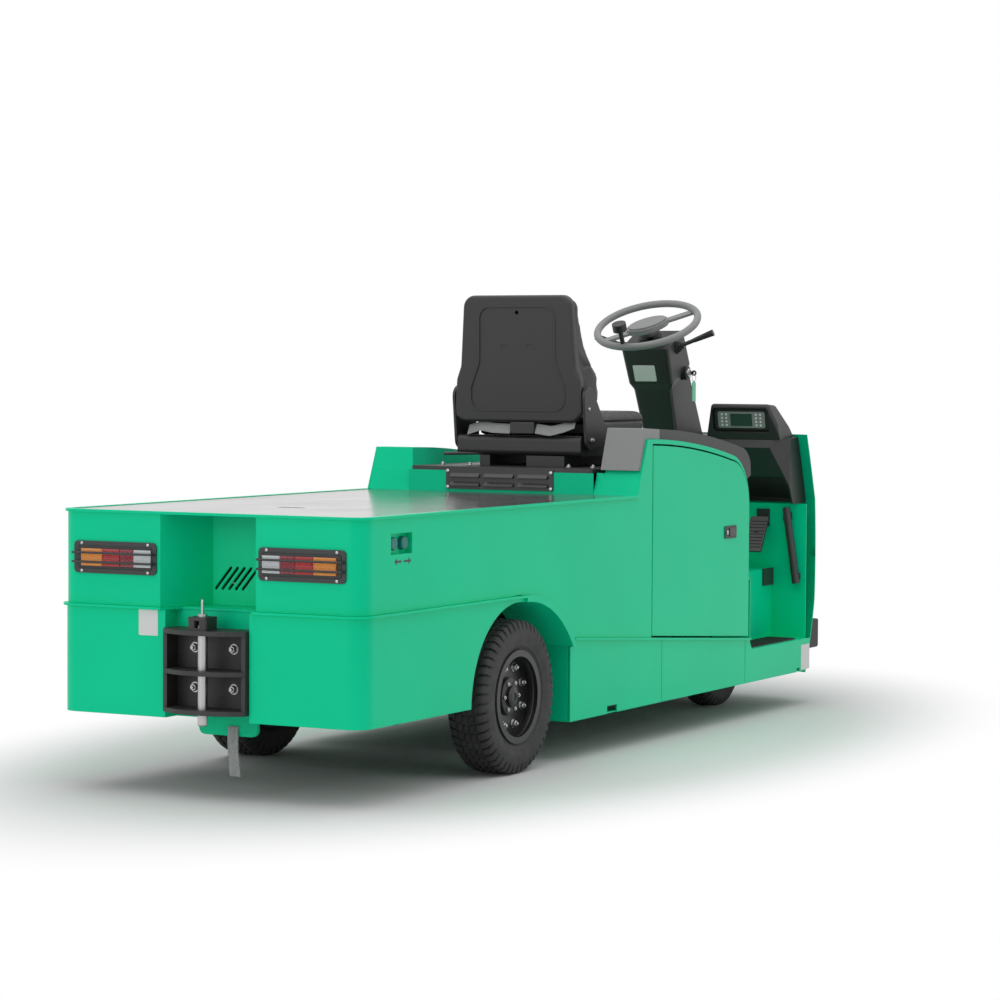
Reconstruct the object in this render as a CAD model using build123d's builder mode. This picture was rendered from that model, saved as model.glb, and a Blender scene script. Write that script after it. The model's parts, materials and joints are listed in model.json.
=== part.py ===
# Electric airport baggage tug with a flat rear deck: one seat, a walk-through cockpit,
# a pin hitch in a notch of the tail and two narrow-set steered wheels under the floor.
# Frame: +X forward, +Y left, +Z up, floor at z = 0, origin under the middle of the whole length.
# Millimetres.
import math
import os

from build123d import *

os.makedirs("parts", exist_ok=True)

# Overall sizes
BODY_WIDTH = 1072.0
BODY_LENGTH = 3560.0
HITCH_REACH = 70.0
BUMPER_REACH = 30.0
DECK_HEIGHT = 860.0
DECK_LENGTH = 1845.0
SHEET = 5.0
DOOR_GAP = 6.0
SEAT_GAP = 0.3
RUNNING_GAP = 0.05

HALF = BODY_WIDTH / 2
REAR = -(BODY_LENGTH + BUMPER_REACH - HITCH_REACH) / 2
NOSE = REAR + BODY_LENGTH
RISER = REAR + DECK_LENGTH

# Tail
BELT_HEIGHT = 572.0
BELT_OUT = 14.0
BELT_THICK = 8.0
SKIRT_OUT = 3.0
TAIL_CLEARANCE = 240.0
CORNER_RADIUS = 56.0
NOTCH_DEPTH = 160.0
NOTCH_BACK_WIDTH = 170.0
NOTCH_WIDTH = 340.0
HITCH_NOTCH_DEPTH = 60.0
HITCH_NOTCH_WIDTH = 304.0
RIM_WIDTH = 14.0
RIM_OUT = 8.0
VENT_SLOTS = 5
VENT_PITCH = 24.0
VENT_LENGTH = 92.0
VENT_WIDTH = 9.0
VENT_HEIGHT = 655.0
VENT_ANGLE = 50.0
DECK_THICK = 6.0
DECK_DROP = 2.0
DECK_SPLIT = RISER - 885.0
HAND_SLOT_LENGTH = 100.0
HAND_SLOT_WIDTH = 26.0
HAND_SLOT_STATIONS = (REAR + 470.0, RISER - 345.0)
BUTTON_START = 164.0
BUTTON_END = 289.0
BUTTON_LEVELS = (744.0, 806.0)
BUTTON_DEPTH = 22.0
BUTTON_RADIUS = 20.0

# Sides
SEAM = RISER + 118.0
DOOR_FRONT = SEAM + 838.0
SILL_CLEARANCE = 133.0
SKIRT_FRONT = NOSE - 205.0
SKIRT_RAKE = 42.0
LEDGE_REAR_HEIGHT = 412.0
LEDGE_FRONT_HEIGHT = 300.0
STEP_HEIGHT = 256.0
STEP_DEPTH = 150.0
SKIRT_SEAMS = (SEAM + 77.0, DOOR_FRONT - 36.0)
SEAM_WIDTH = 4.0
SEAM_DEPTH = 2.5
SKIRT_NOTCHES = ((SEAM - 350.0, 76.0, 26.0), (SKIRT_FRONT - 90.0, 28.0, 14.0))

# Wheels
REAR_AXLE = REAR + 998.0
REAR_TYRE_RADIUS = 247.0
REAR_TYRE_WIDTH = 146.0
REAR_RIM_RADIUS = 146.0
REAR_STUB_RADIUS = 30.0
FRONT_AXLE = NOSE - 407.0
FRONT_TYRE_RADIUS = 207.5
FRONT_TYRE_WIDTH = 110.0
FRONT_RIM_RADIUS = 116.0
FRONT_STUB_RADIUS = 18.0
FRONT_TRACK = 450.0
KINGPIN_TRACK = 300.0
KINGPIN_RADIUS = 14.0
KNUCKLE_RADIUS = 24.0
KNUCKLE_HEIGHT = 100.0
AXLE_BEAM_TOP = 242.0
YOKE_ARM = 18.0
YOKE_GAP = 2.0
TYRE_SEAT = 0.3

# Wheel arch, in side view
ARCH_TOP = 550.0
ARCH_REAR = REAR_AXLE - 340.0
ARCH_FRONT = REAR_AXLE + 337.0
ARCH_CROWN = REAR_AXLE + 12.0
ARCH_FOOT = 385.0
LINER_DEPTH = 190.0
LIP_WIDTH = 22.0

# Frame
RAIL_SPACING = 560.0
RAIL_WIDTH = 60.0
RAIL_BOTTOM = 330.0
RAIL_HEIGHT = 118.0
RAIL_REAR = REAR + 126.0
RAIL_STEP = DOOR_FRONT - 161.0
FRONT_RAIL_HEIGHT = 66.0
RAIL_FRONT = NOSE - 140.0

# Riser grille
LOUVRE_WIDTH = 424.0
LOUVRE_HEIGHT = 70.0
LOUVRE_LEVEL = 902.0
LOUVRE_THICK = 5.0

# Seat bay and side pods
LID_HEIGHT = 946.0
LID_THICK = 14.0
RISER_WIDTH = 730.0
LID_WIDTH = 716.0
POD_WIDTH = 140.0
POD_RAKE = 80.0
RIGHT_POD_TOP = 1051.0
LEFT_POD_TOP = 1008.0
POD_FALL = 70.0
POD_NOSE_LENGTH = 160.0
POD_NOSE_DROP = 190.0
POD_BORDER = 16.0
SEAT_BAY_FRONT = DOOR_FRONT - 191.0
FLOOR_HEIGHT = 520.0
BULKHEAD = NOSE - 185.0
TOE_HEIGHT = 774.0
COVER_INNER = 13.0
COVER_OUTER = 20.0
WEDGE_FOOT = 30.0

# Seat
SEAT_BACK_FOOT = RISER + 164.0
SEAT_WIDTH = 500.0
CUSHION_LENGTH = 470.0
CUSHION_BOTTOM = 1050.0
CUSHION_THICK = 85.0
CUSHION_REAR = SEAT_BACK_FOOT + 82.0
BACK_BOTTOM = 1102.0
BACK_TOP = 1551.0
BACK_LEAN = 2.0
BACK_SHELL = 32.0
BACK_PAD = 48.0
BACK_BOLSTER = 134.0
SEAT_RAIL_HEIGHT = 38.0

# Steering
WHEEL_HUB_X = NOSE - 517.0
WHEEL_HUB_Z = 1459.0
WHEEL_TILT = 26.0
STEER_WHEEL_RADIUS = 195.0
STEER_RIM_RADIUS = 14.0
SPOKE_ANGLES = (math.radians(135), math.radians(315))
KNOB_ANGLE = math.radians(276)
STEER_SHAFT_RADIUS = 12.0
COLUMN_TOP_DROP = 70.0
HEAD_LENGTH = 145.0
COLUMN_LENGTH = 500.0

# Dash and nose
DASH_FACE = NOSE - 345.0
DASH_WIDTH = BODY_WIDTH - 90.0
DASH_TOP = 1022.0
DASH_BOTTOM = TOE_HEIGHT + 0.3
DASH_RAKE = 110.0
DASH_CORNER = 75.0
BINNACLE_CENTRE = -318.0
BINNACLE_WIDTH = 320.0
BINNACLE_TOP = 1160.0
COWL_TOP = 1042.0
COWL_BULGE = 110.0
COWL_LEAN = 88.0
COWL_BOTTOM = 125.0
BUMPER_BOTTOM = 215.0
BUMPER_HEIGHT = 110.0
HEADLAMP_RADIUS = 68.0
HEADLAMP_SPACING = 640.0
HEADLAMP_HEIGHT = 560.0
HEADLAMP_DEPTH = 60.0

GRAB_RADIUS = 15.0

# Tail lamps
TAIL_LAMP_WIDTH = 300.0
TAIL_LAMP_HEIGHT = 98.0
TAIL_LAMP_SPACING = 664.0
TAIL_LAMP_LEVEL = 715.0
GUARD_BORDER = 14.0
GUARD_THICK = 5.0
LENS_OUT = 14.0
ROD_RADIUS = 3.5
ROD_STAND = 22.0

# Hitch
PIN_RADIUS = 15.0
PIN_OUT = 26.0
PIN_TOP = 560.0
PIN_BOTTOM = 225.0
HITCH_WIDTH = 292.0
HITCH_LEVELS = (268.0, 385.0, 505.0)
HITCH_PLATE = 14.0
HITCH_BACK = 16.0
TOW_PLATE_WIDTH = 210.0
TOW_PLATE_BOTTOM = 182.0
TOW_PLATE_THICK = 12.0
GUIDE_SIZE = 66.0
GUIDE_HEIGHT = 40.0
COLLAR_RADIUS = 21.0
LOOP_RADIUS = 9.0
LOOP_ROD = 4.0
LOOP_TURN = 28.0
STRAP_WIDTH = 40.0
STRAP_THICK = 4.0
STRAP_END = 60.0


def side_plane(y):
    """Plane whose sketch reads x forward and z up; extruding goes to the right."""
    return Plane(origin=(0, y, 0), x_dir=(1, 0, 0), z_dir=(0, -1, 0))


def cross_plane(x):
    """Plane whose sketch reads y and z; extruding goes forward."""
    return Plane(origin=(x, 0, 0), x_dir=(0, 1, 0), z_dir=(1, 0, 0))


def finish(piece, name):
    """Label a finished piece and write it to its own file."""
    piece.part.label = name
    export_step(piece.part, f"parts/{name}.step")


def block(x_range, y_range, z_range, mode=Mode.ADD):
    """Plain block between two stations on each axis."""
    ranges = (x_range, y_range, z_range)
    middle = [(low + high) / 2 for low, high in ranges]
    size = [high - low for low, high in ranges]
    with Locations(tuple(middle)):
        Box(*size, mode=mode)


def side_face(points, y):
    """Straight-sided outline in side view."""
    with BuildSketch(side_plane(y)) as face:
        with BuildLine():
            Polyline(*points, close=True)
        make_face()
    return face.sketch


def ledge_at(x):
    """Height of the sloping ledge that tops the forward skirt."""
    share = (x - ARCH_FRONT) / (DOOR_FRONT - ARCH_FRONT)
    return LEDGE_REAR_HEIGHT + share * (LEDGE_FRONT_HEIGHT - LEDGE_REAR_HEIGHT)


def arch_face(grow, y):
    """Rear wheel opening in side view, grown outwards by a margin."""
    rear_foot = (ARCH_REAR - grow, TAIL_CLEARANCE)
    rear_low = (ARCH_REAR - grow, 0)
    crown = (ARCH_CROWN, ARCH_TOP + grow)
    front_foot = (ARCH_FRONT + grow, ARCH_FOOT + grow / 2)
    front_low = (ARCH_FRONT + grow, 0)
    with BuildSketch(side_plane(y)) as face:
        with BuildLine():
            ThreePointArc(rear_foot, (ARCH_REAR + 94 - 0.7 * grow, 462 + 0.7 * grow), crown)
            ThreePointArc(crown, (ARCH_CROWN + 185 + 0.5 * grow, 506 + 0.9 * grow), front_foot)
            Polyline(front_foot, front_low, rear_low, rear_foot)
        make_face()
    return face.sketch


def tail_outline(notch, front, level):
    """The body in plan as far as a station: notch is its (width, back width, depth)."""
    width, back_width, depth = notch
    points = [(front, -HALF), (REAR, -HALF)]
    if depth > 0:
        points += [(REAR, -width / 2), (REAR + depth, -back_width / 2)]
        points += [(REAR + depth, back_width / 2), (REAR, width / 2)]
    points += [(REAR, HALF), (front, HALF)]
    with BuildSketch(Plane.XY.offset(level)) as outline:
        with BuildLine():
            Polyline(*points, close=True)
        make_face()
        corners = outline.vertices().filter_by(lambda v: v.X < REAR + 1 and abs(v.Y) > HALF - 1)
        fillet(corners, CORNER_RADIUS)
    return outline.sketch


def tail_face(grow, wall, notch, front, level):
    """Band of a given wall round the tail in plan, open in front."""
    with BuildSketch(Plane.XY.offset(level)) as band:
        add(tail_outline(notch, front, 0))
        if grow > 0:
            offset(amount=grow, kind=Kind.INTERSECTION)
        offset(amount=-wall, kind=Kind.INTERSECTION, mode=Mode.SUBTRACT)
        with Locations((front, 0)):
            Rectangle(2 * (grow + wall) + 2, BODY_WIDTH + 2 * (grow - wall), mode=Mode.SUBTRACT)
        with Locations((front + 50, 0)):
            Rectangle(100, BODY_WIDTH + 100, mode=Mode.SUBTRACT)
    return band.sketch


NOSE_RADIUS = (HALF**2 + COWL_BULGE**2) / (2 * COWL_BULGE)
NO_NOTCH = (0, 0, 0)
UPPER_NOTCH = (NOTCH_WIDTH, NOTCH_BACK_WIDTH, NOTCH_DEPTH)
LOWER_NOTCH = (HITCH_NOTCH_WIDTH, HITCH_NOTCH_WIDTH, HITCH_NOTCH_DEPTH)


def make_ears(shell_side, top):
    """Side sheet that rises with the pod behind the door, between deck and seam."""
    rake = POD_RAKE * (top - DECK_HEIGHT) / (RIGHT_POD_TOP - DECK_HEIGHT)
    ear = [
        (RISER, DECK_HEIGHT - RIM_WIDTH),
        (RISER, DECK_HEIGHT),
        (RISER + rake, top),
        (SEAM, top - 1),
        (SEAM, DECK_HEIGHT - RIM_WIDTH),
    ]
    extrude(side_face(ear, shell_side), amount=SHEET)


def button_pocket(grow):
    """Box behind the button recess in the right-hand side, grown by a margin."""
    low, high = BUTTON_LEVELS
    across = (-HALF - 1 + grow, -HALF + BUTTON_DEPTH + grow)
    return (REAR + BUTTON_START - grow, REAR + BUTTON_END + grow), across, (low - grow, high + grow)


def make_upper_shell():
    under_rim = DECK_HEIGHT - DECK_DROP - DECK_THICK - SEAT_GAP
    with BuildPart() as shell:
        wall = tail_face(0, SHEET, UPPER_NOTCH, SEAM, LEDGE_FRONT_HEIGHT)
        extrude(wall, amount=under_rim - LEDGE_FRONT_HEIGHT)
        rim = tail_face(RIM_OUT, RIM_OUT + RIM_WIDTH, NO_NOTCH, RISER, under_rim)
        extrude(rim, amount=DECK_HEIGHT - under_rim)
        make_ears(-HALF + SHEET, RIGHT_POD_TOP)
        make_ears(HALF, LEFT_POD_TOP)
        block(*button_pocket(SHEET))
        block(*button_pocket(0), Mode.SUBTRACT)
        block((REAR - 10, ARCH_CROWN), (-HALF - 1, HALF + 1), (0, BELT_HEIGHT), Mode.SUBTRACT)
        extrude(arch_face(LIP_WIDTH, HALF + 1), amount=BODY_WIDTH + 2, mode=Mode.SUBTRACT)
        below = [(ARCH_CROWN, 0), (ARCH_CROWN, ARCH_FOOT), (ARCH_FRONT, ledge_at(ARCH_FRONT))]
        below += [(SEAM + 20, ledge_at(SEAM + 20)), (SEAM + 20, 0)]
        extrude(side_face(below, HALF + 1), amount=BODY_WIDTH + 2, mode=Mode.SUBTRACT)
        with BuildSketch(cross_plane(REAR + NOTCH_DEPTH - SHEET)):
            with Locations((0, VENT_HEIGHT)):
                with GridLocations(VENT_PITCH, 0, VENT_SLOTS, 1):
                    SlotOverall(VENT_LENGTH, VENT_WIDTH, rotation=-VENT_ANGLE)
        extrude(amount=SHEET * 3, mode=Mode.SUBTRACT)
    finish(shell, "upper_shell")
    with BuildPart() as buttons:
        back = -HALF + BUTTON_DEPTH - SEAT_GAP
        middle = REAR + (BUTTON_START + BUTTON_END) / 2
        level = sum(BUTTON_LEVELS) / 2
        for side in (-1, 1):
            x = middle + side * (BUTTON_END - BUTTON_START) / 4
            with BuildSketch(side_plane(back)):
                with Locations((x, level)):
                    Circle(BUTTON_RADIUS)
            extrude(amount=BUTTON_DEPTH * 0.75)
        chamfer(buttons.faces().sort_by(Axis.Y)[:2].edges(), 3)
    finish(buttons, "side_buttons")


def make_rear_skirt():
    with BuildPart() as skirt:
        wall = tail_face(SKIRT_OUT, SHEET, LOWER_NOTCH, ARCH_CROWN, TAIL_CLEARANCE)
        extrude(wall, amount=BELT_HEIGHT - BELT_THICK - TAIL_CLEARANCE)
        belt = tail_face(BELT_OUT, BELT_OUT + SHEET, UPPER_NOTCH, ARCH_CROWN, BELT_HEIGHT - BELT_THICK)
        extrude(belt, amount=BELT_THICK - SEAT_GAP)
        shelf_x = (REAR + HITCH_NOTCH_DEPTH - SHEET, REAR + NOTCH_DEPTH + SHEET)
        block(shelf_x, (-HITCH_NOTCH_WIDTH / 2, HITCH_NOTCH_WIDTH / 2),
              (BELT_HEIGHT - BELT_THICK, BELT_HEIGHT - SEAT_GAP))
        extrude(arch_face(0, HALF + 30), amount=BODY_WIDTH + 60, mode=Mode.SUBTRACT)
    finish(skirt, "rear_skirt")


def make_wheel_housings():
    with BuildPart() as housings:
        extrude(arch_face(SHEET, -HALF + LINER_DEPTH), amount=LINER_DEPTH - SHEET - SEAT_GAP)
        lip = arch_face(LIP_WIDTH - SEAT_GAP, -HALF + SHEET + SEAT_GAP)
        extrude(lip, amount=SHEET + SEAT_GAP + BELT_OUT)
        extrude(arch_face(0, 0), amount=BODY_WIDTH, mode=Mode.SUBTRACT)
        block((ARCH_REAR - 40, ARCH_CROWN), (-HALF - 40, -HALF + SHEET + SEAT_GAP), (0, 700), Mode.SUBTRACT)
        block((ARCH_REAR - 40, ARCH_FRONT + 40), (-HALF - 40, 0), (0, SILL_CLEARANCE), Mode.SUBTRACT)
        foot = ARCH_FOOT - 2
        block((ARCH_CROWN, ARCH_FRONT + 40), (-HALF - 40, -HALF + SHEET + SEAT_GAP), (0, foot), Mode.SUBTRACT)
        block((ARCH_REAR - 40, ARCH_CROWN), (-HALF, 0), (0, TAIL_CLEARANCE), Mode.SUBTRACT)
        mirror(about=Plane.XZ)
    finish(housings, "wheel_housings")


def make_fore_skirts():
    inner = -HALF + SHEET - SKIRT_OUT
    start = ARCH_FRONT + SEAT_GAP
    with BuildPart() as skirt:
        outline = [
            (start, SILL_CLEARANCE),
            (start, ARCH_FOOT - 3),
            (ARCH_FRONT + LIP_WIDTH, ARCH_FOOT - 3),
            (ARCH_FRONT + LIP_WIDTH, ledge_at(ARCH_FRONT + LIP_WIDTH)),
            (DOOR_FRONT, LEDGE_FRONT_HEIGHT),
            (DOOR_FRONT + 30, STEP_HEIGHT),
            (SKIRT_FRONT + SKIRT_RAKE, STEP_HEIGHT),
            (SKIRT_FRONT, SILL_CLEARANCE),
        ]
        extrude(side_face(outline, inner), amount=SHEET)
        ledge = [
            (ARCH_FRONT + LIP_WIDTH, ledge_at(ARCH_FRONT + LIP_WIDTH) - BELT_THICK),
            (ARCH_FRONT + LIP_WIDTH, ledge_at(ARCH_FRONT + LIP_WIDTH) - SEAT_GAP),
            (DOOR_FRONT, LEDGE_FRONT_HEIGHT - SEAT_GAP),
            (DOOR_FRONT, LEDGE_FRONT_HEIGHT - BELT_THICK),
        ]
        extrude(side_face(ledge, -HALF + 20), amount=20 + BELT_OUT)
        flange = start + SHEET
        block((flange, flange + SHEET), (-HALF - SKIRT_OUT, -HALF + 70), (SILL_CLEARANCE, ARCH_FOOT - 10))
        foot = (SILL_CLEARANCE, SILL_CLEARANCE + SHEET)
        block((flange, SKIRT_FRONT), (-HALF - SKIRT_OUT, -HALF + 40), foot)
        tread = (STEP_HEIGHT - SHEET, STEP_HEIGHT)
        across = (-HALF - SKIRT_OUT, -HALF + STEP_DEPTH)
        block((DOOR_FRONT + 30, BULKHEAD - SEAT_GAP), across, tread)
        face = -HALF - SKIRT_OUT
        for x in SKIRT_SEAMS:
            groove = (SILL_CLEARANCE - 1, ledge_at(x) - BELT_THICK)
            block((x, x + SEAM_WIDTH), (face - 1, face + SEAM_DEPTH), groove, Mode.SUBTRACT)
        for x, length, height in SKIRT_NOTCHES:
            notch = (SILL_CLEARANCE - 1, SILL_CLEARANCE + height)
            block((x, x + length), (face - 1, face + SHEET + 1), notch, Mode.SUBTRACT)
    finish(skirt, "fore_skirt_right")
    with BuildPart() as left:
        mirror(skirt.part, about=Plane.XZ)
    finish(left, "fore_skirt_left")


def pod_face(top, inset, front_inset, y):
    """Side view of a pod beside the seat, shrunk at its top and at its front."""
    rake = POD_RAKE * (top - DECK_HEIGHT) / (RIGHT_POD_TOP - DECK_HEIGHT)
    rear_top = (RISER + rake + inset, top - inset)
    crest = (DOOR_FRONT - 490, top - 22 - inset)
    shoulder = (DOOR_FRONT - POD_NOSE_LENGTH, top - POD_FALL - inset)
    nose_mid = (DOOR_FRONT - 42 - 0.7 * front_inset, top - POD_FALL - 66 - 0.7 * inset)
    nose_low = (DOOR_FRONT - front_inset, top - POD_FALL - POD_NOSE_DROP)
    with BuildSketch(side_plane(y)) as face:
        with BuildLine():
            Line((RISER + inset, DECK_HEIGHT), rear_top)
            ThreePointArc(rear_top, crest, shoulder)
            ThreePointArc(shoulder, nose_mid, nose_low)
            Polyline(
                nose_low,
                (DOOR_FRONT - front_inset, LEDGE_FRONT_HEIGHT),
                (SEAM, ledge_at(SEAM)),
                (RISER + inset, ledge_at(SEAM)),
                (RISER + inset, DECK_HEIGHT),
            )
        make_face()
    return face.sketch


def under_ledge(gap, y):
    """What lies under the sloping ledge, raised by a gap."""
    rear = RISER - 20
    front = DOOR_FRONT + 20
    low = LEDGE_FRONT_HEIGHT - 100
    points = [(rear, low), (rear, ledge_at(rear) + gap), (front, ledge_at(front) + gap), (front, low)]
    return side_face(points, y)


def door_pocket(top):
    """Recess in the right pod that the side door closes with an even gap."""
    depth = SHEET + DOOR_GAP
    with BuildPart() as pocket:
        extrude(pod_face(top, POD_BORDER, -1, -HALF + depth), amount=depth + 1)
        block((RISER - 10, SEAM), (-HALF - 2, -HALF + depth + 1), (0, top + 10), Mode.SUBTRACT)
        block((SEAM, DOOR_FRONT + 1), (-HALF - 1, -HALF + depth), (LEDGE_FRONT_HEIGHT - 10, ledge_at(SEAM) + 2))
    return pocket.part


def pod_body(top):
    """Sheet-metal pod on the right side, open where the side door closes it."""
    inner = -HALF + POD_WIDTH
    rake = POD_RAKE * (top - DECK_HEIGHT) / (RIGHT_POD_TOP - DECK_HEIGHT)
    shoulder = LID_HEIGHT - LID_THICK
    lean = rake * (shoulder - DECK_HEIGHT) / (top - DECK_HEIGHT)
    with BuildPart() as pod:
        extrude(pod_face(top, 0, 0, inner), amount=POD_WIDTH)
        extrude(pod_face(top, SHEET, SHEET, inner - SHEET), amount=POD_WIDTH - 2 * SHEET, mode=Mode.SUBTRACT)
        add(door_pocket(top), mode=Mode.SUBTRACT)
        block((RISER - 10, SEAM), (-HALF - 1, -HALF + SHEET + SEAT_GAP), (0, top + 10), Mode.SUBTRACT)
        block((RISER - 10, SEAT_BAY_FRONT), (-HALF - 1, inner + 1), (0, shoulder), Mode.SUBTRACT)
        low = LEDGE_FRONT_HEIGHT + DOOR_GAP
        block((RISER - 10, DOOR_FRONT + 10), (-HALF - 1, inner + 1), (0, low), Mode.SUBTRACT)
        pillar = [
            (RISER, DECK_HEIGHT - 4),
            (RISER + lean, shoulder + 1),
            (RISER + lean + SHEET, shoulder + 1),
            (RISER + SHEET, DECK_HEIGHT - 4),
        ]
        width = HALF - SHEET - SEAT_GAP - RISER_WIDTH / 2 - SEAT_GAP
        extrude(side_face(pillar, -RISER_WIDTH / 2 - SEAT_GAP), amount=width)
    return pod.part


def make_pods():
    with BuildPart() as right:
        add(pod_body(RIGHT_POD_TOP))
    finish(right, "pod_right")
    inner = HALF - POD_WIDTH
    shoulder = LID_HEIGHT - LID_THICK
    wedge_top = LEFT_POD_TOP - 2
    with BuildPart() as left:
        mirror(pod_body(LEFT_POD_TOP), about=Plane.XZ)
        with BuildSketch(cross_plane(RISER)):
            with BuildLine():
                Polyline(
                    (inner - WEDGE_FOOT, shoulder),
                    (inner - WEDGE_FOOT / 3, wedge_top),
                    (inner + 1, wedge_top),
                    (inner + 1, shoulder),
                    close=True,
                )
            make_face()
        wedge = extrude(amount=SEAT_BAY_FRONT - RISER, mode=Mode.PRIVATE)
        add(wedge & extrude(pod_face(LEFT_POD_TOP, 0, 0, inner + 2), amount=60, mode=Mode.PRIVATE))
    finish(left, "pod_left")


def door_body(top):
    """Side door of the battery bay on the right, hinged at its rear edge."""
    outer = -HALF + SHEET
    with BuildPart() as door:
        extrude(pod_face(top, POD_BORDER + DOOR_GAP, 0, outer), amount=SHEET)
        block((RISER - 10, SEAM + DOOR_GAP), (-HALF - 1, outer + 1), (0, top + 10), Mode.SUBTRACT)
        extrude(under_ledge(DOOR_GAP, outer + 1), amount=SHEET + 2, mode=Mode.SUBTRACT)
    return door.part


def make_side_doors():
    with BuildPart() as right:
        add(door_body(RIGHT_POD_TOP))
    finish(right, "side_door_right")
    with BuildPart() as left:
        mirror(door_body(LEFT_POD_TOP), about=Plane.XZ)
    finish(left, "side_door_left")


def make_deck():
    level = DECK_HEIGHT - DECK_DROP - DECK_THICK
    spans = {"deck_plate_rear": (REAR, DECK_SPLIT - 1.5), "deck_plate_front": (DECK_SPLIT + 1.5, RISER)}
    for (name, span), station in zip(spans.items(), HAND_SLOT_STATIONS):
        with BuildPart() as plate:
            with BuildSketch(Plane.XY.offset(level)):
                add(tail_outline(NO_NOTCH, RISER + RIM_WIDTH, 0))
                offset(amount=-RIM_WIDTH - SEAT_GAP, kind=Kind.INTERSECTION, mode=Mode.REPLACE)
                with Locations(((span[0] + span[1]) / 2, 0)):
                    Rectangle(span[1] - span[0], BODY_WIDTH, mode=Mode.INTERSECT)
                with Locations((station, 0)):
                    SlotOverall(HAND_SLOT_LENGTH, HAND_SLOT_WIDTH, rotation=90, mode=Mode.SUBTRACT)
            extrude(amount=DECK_THICK)
        finish(plate, name)


def make_riser():
    with BuildPart() as riser:
        tall = (DECK_HEIGHT - 40, LID_HEIGHT - LID_THICK)
        block((RISER, RISER + SHEET), (-RISER_WIDTH / 2, RISER_WIDTH / 2), tall)
        with Locations((RISER, 0, LOUVRE_LEVEL)):
            Box(4 * SHEET, LOUVRE_WIDTH - 40, LOUVRE_HEIGHT - 20, mode=Mode.SUBTRACT)
    finish(riser, "riser_panel")
    with BuildPart() as louvre:
        with Locations((RISER - LOUVRE_THICK / 2, 0, LOUVRE_LEVEL)):
            Box(LOUVRE_THICK, LOUVRE_WIDTH, LOUVRE_HEIGHT)
        pitch_y = LOUVRE_WIDTH / 3.15
        pitch_z = LOUVRE_HEIGHT / 2.3
        with BuildSketch(cross_plane(RISER - LOUVRE_THICK)):
            with Locations((0, LOUVRE_LEVEL - 4)):
                with GridLocations(pitch_y, pitch_z, 3, 2):
                    Rectangle(pitch_y * 0.86, 9)
        extrude(amount=LOUVRE_THICK, mode=Mode.SUBTRACT)
        face = RISER - LOUVRE_THICK
        for z in (LOUVRE_LEVEL + pitch_z / 2, LOUVRE_LEVEL - pitch_z / 2):
            blade = [(face + 1, z + 7), (face - 10, z - 6), (face - 10, z - 9), (face + 1, z + 3)]
            for y in (-pitch_y, 0, pitch_y):
                extrude(side_face(blade, y + 0.43 * pitch_y), amount=0.86 * pitch_y)
    finish(louvre, "louvre_plate")


def cover_over_pod(points, outer):
    """Cover that wraps the inner top edge of the right-hand pod, from its side outline."""
    inner = -HALF + POD_WIDTH
    with BuildPart() as cover:
        extrude(side_face(points, inner + COVER_INNER), amount=POD_WIDTH + COVER_INNER - outer)
        hollow = pod_face(RIGHT_POD_TOP, -SEAT_GAP, -SEAT_GAP, inner + SEAT_GAP)
        extrude(hollow, amount=POD_WIDTH, mode=Mode.SUBTRACT)
    return cover.part


def make_console():
    top = RIGHT_POD_TOP
    joint = SEAM + 71
    box = [
        (RISER + 22, top - 107),
        (RISER + 74, top + 38),
        (joint - SEAT_GAP, top + 33),
        (joint - SEAT_GAP, top - 51),
        (RISER + 38, top - 107),
    ]
    with BuildPart() as console:
        add(cover_over_pod(box, COVER_OUTER - 12))
        fillet(console.edges().filter_by(Axis.Y).sort_by(Axis.Z)[-2:], 5)
    finish(console, "console_right")
    with BuildPart() as trim:
        with BuildSketch(side_plane(-HALF + POD_WIDTH + COVER_INNER)):
            with BuildLine():
                crest = (joint, top + 33)
                crown = (DOOR_FRONT - 318, top)
                brow = (DOOR_FRONT - 30, top - 46)
                nose = (DOOR_FRONT + 55, top - 106)
                ThreePointArc(crest, crown, brow)
                ThreePointArc(brow, (DOOR_FRONT + 26, top - 68), nose)
                Polyline(
                    nose,
                    (DOOR_FRONT + 57, top - 151),
                    (DOOR_FRONT + 1, top - 171),
                    (DOOR_FRONT - 120, top - 150),
                    (joint, top - 51),
                    crest,
                )
            make_face()
        extrude(amount=POD_WIDTH + COVER_INNER - COVER_OUTER)
        hollow = pod_face(top, -SEAT_GAP, -SEAT_GAP, -HALF + POD_WIDTH + SEAT_GAP)
        extrude(hollow, amount=POD_WIDTH, mode=Mode.SUBTRACT)
    finish(trim, "pod_trim")


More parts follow.
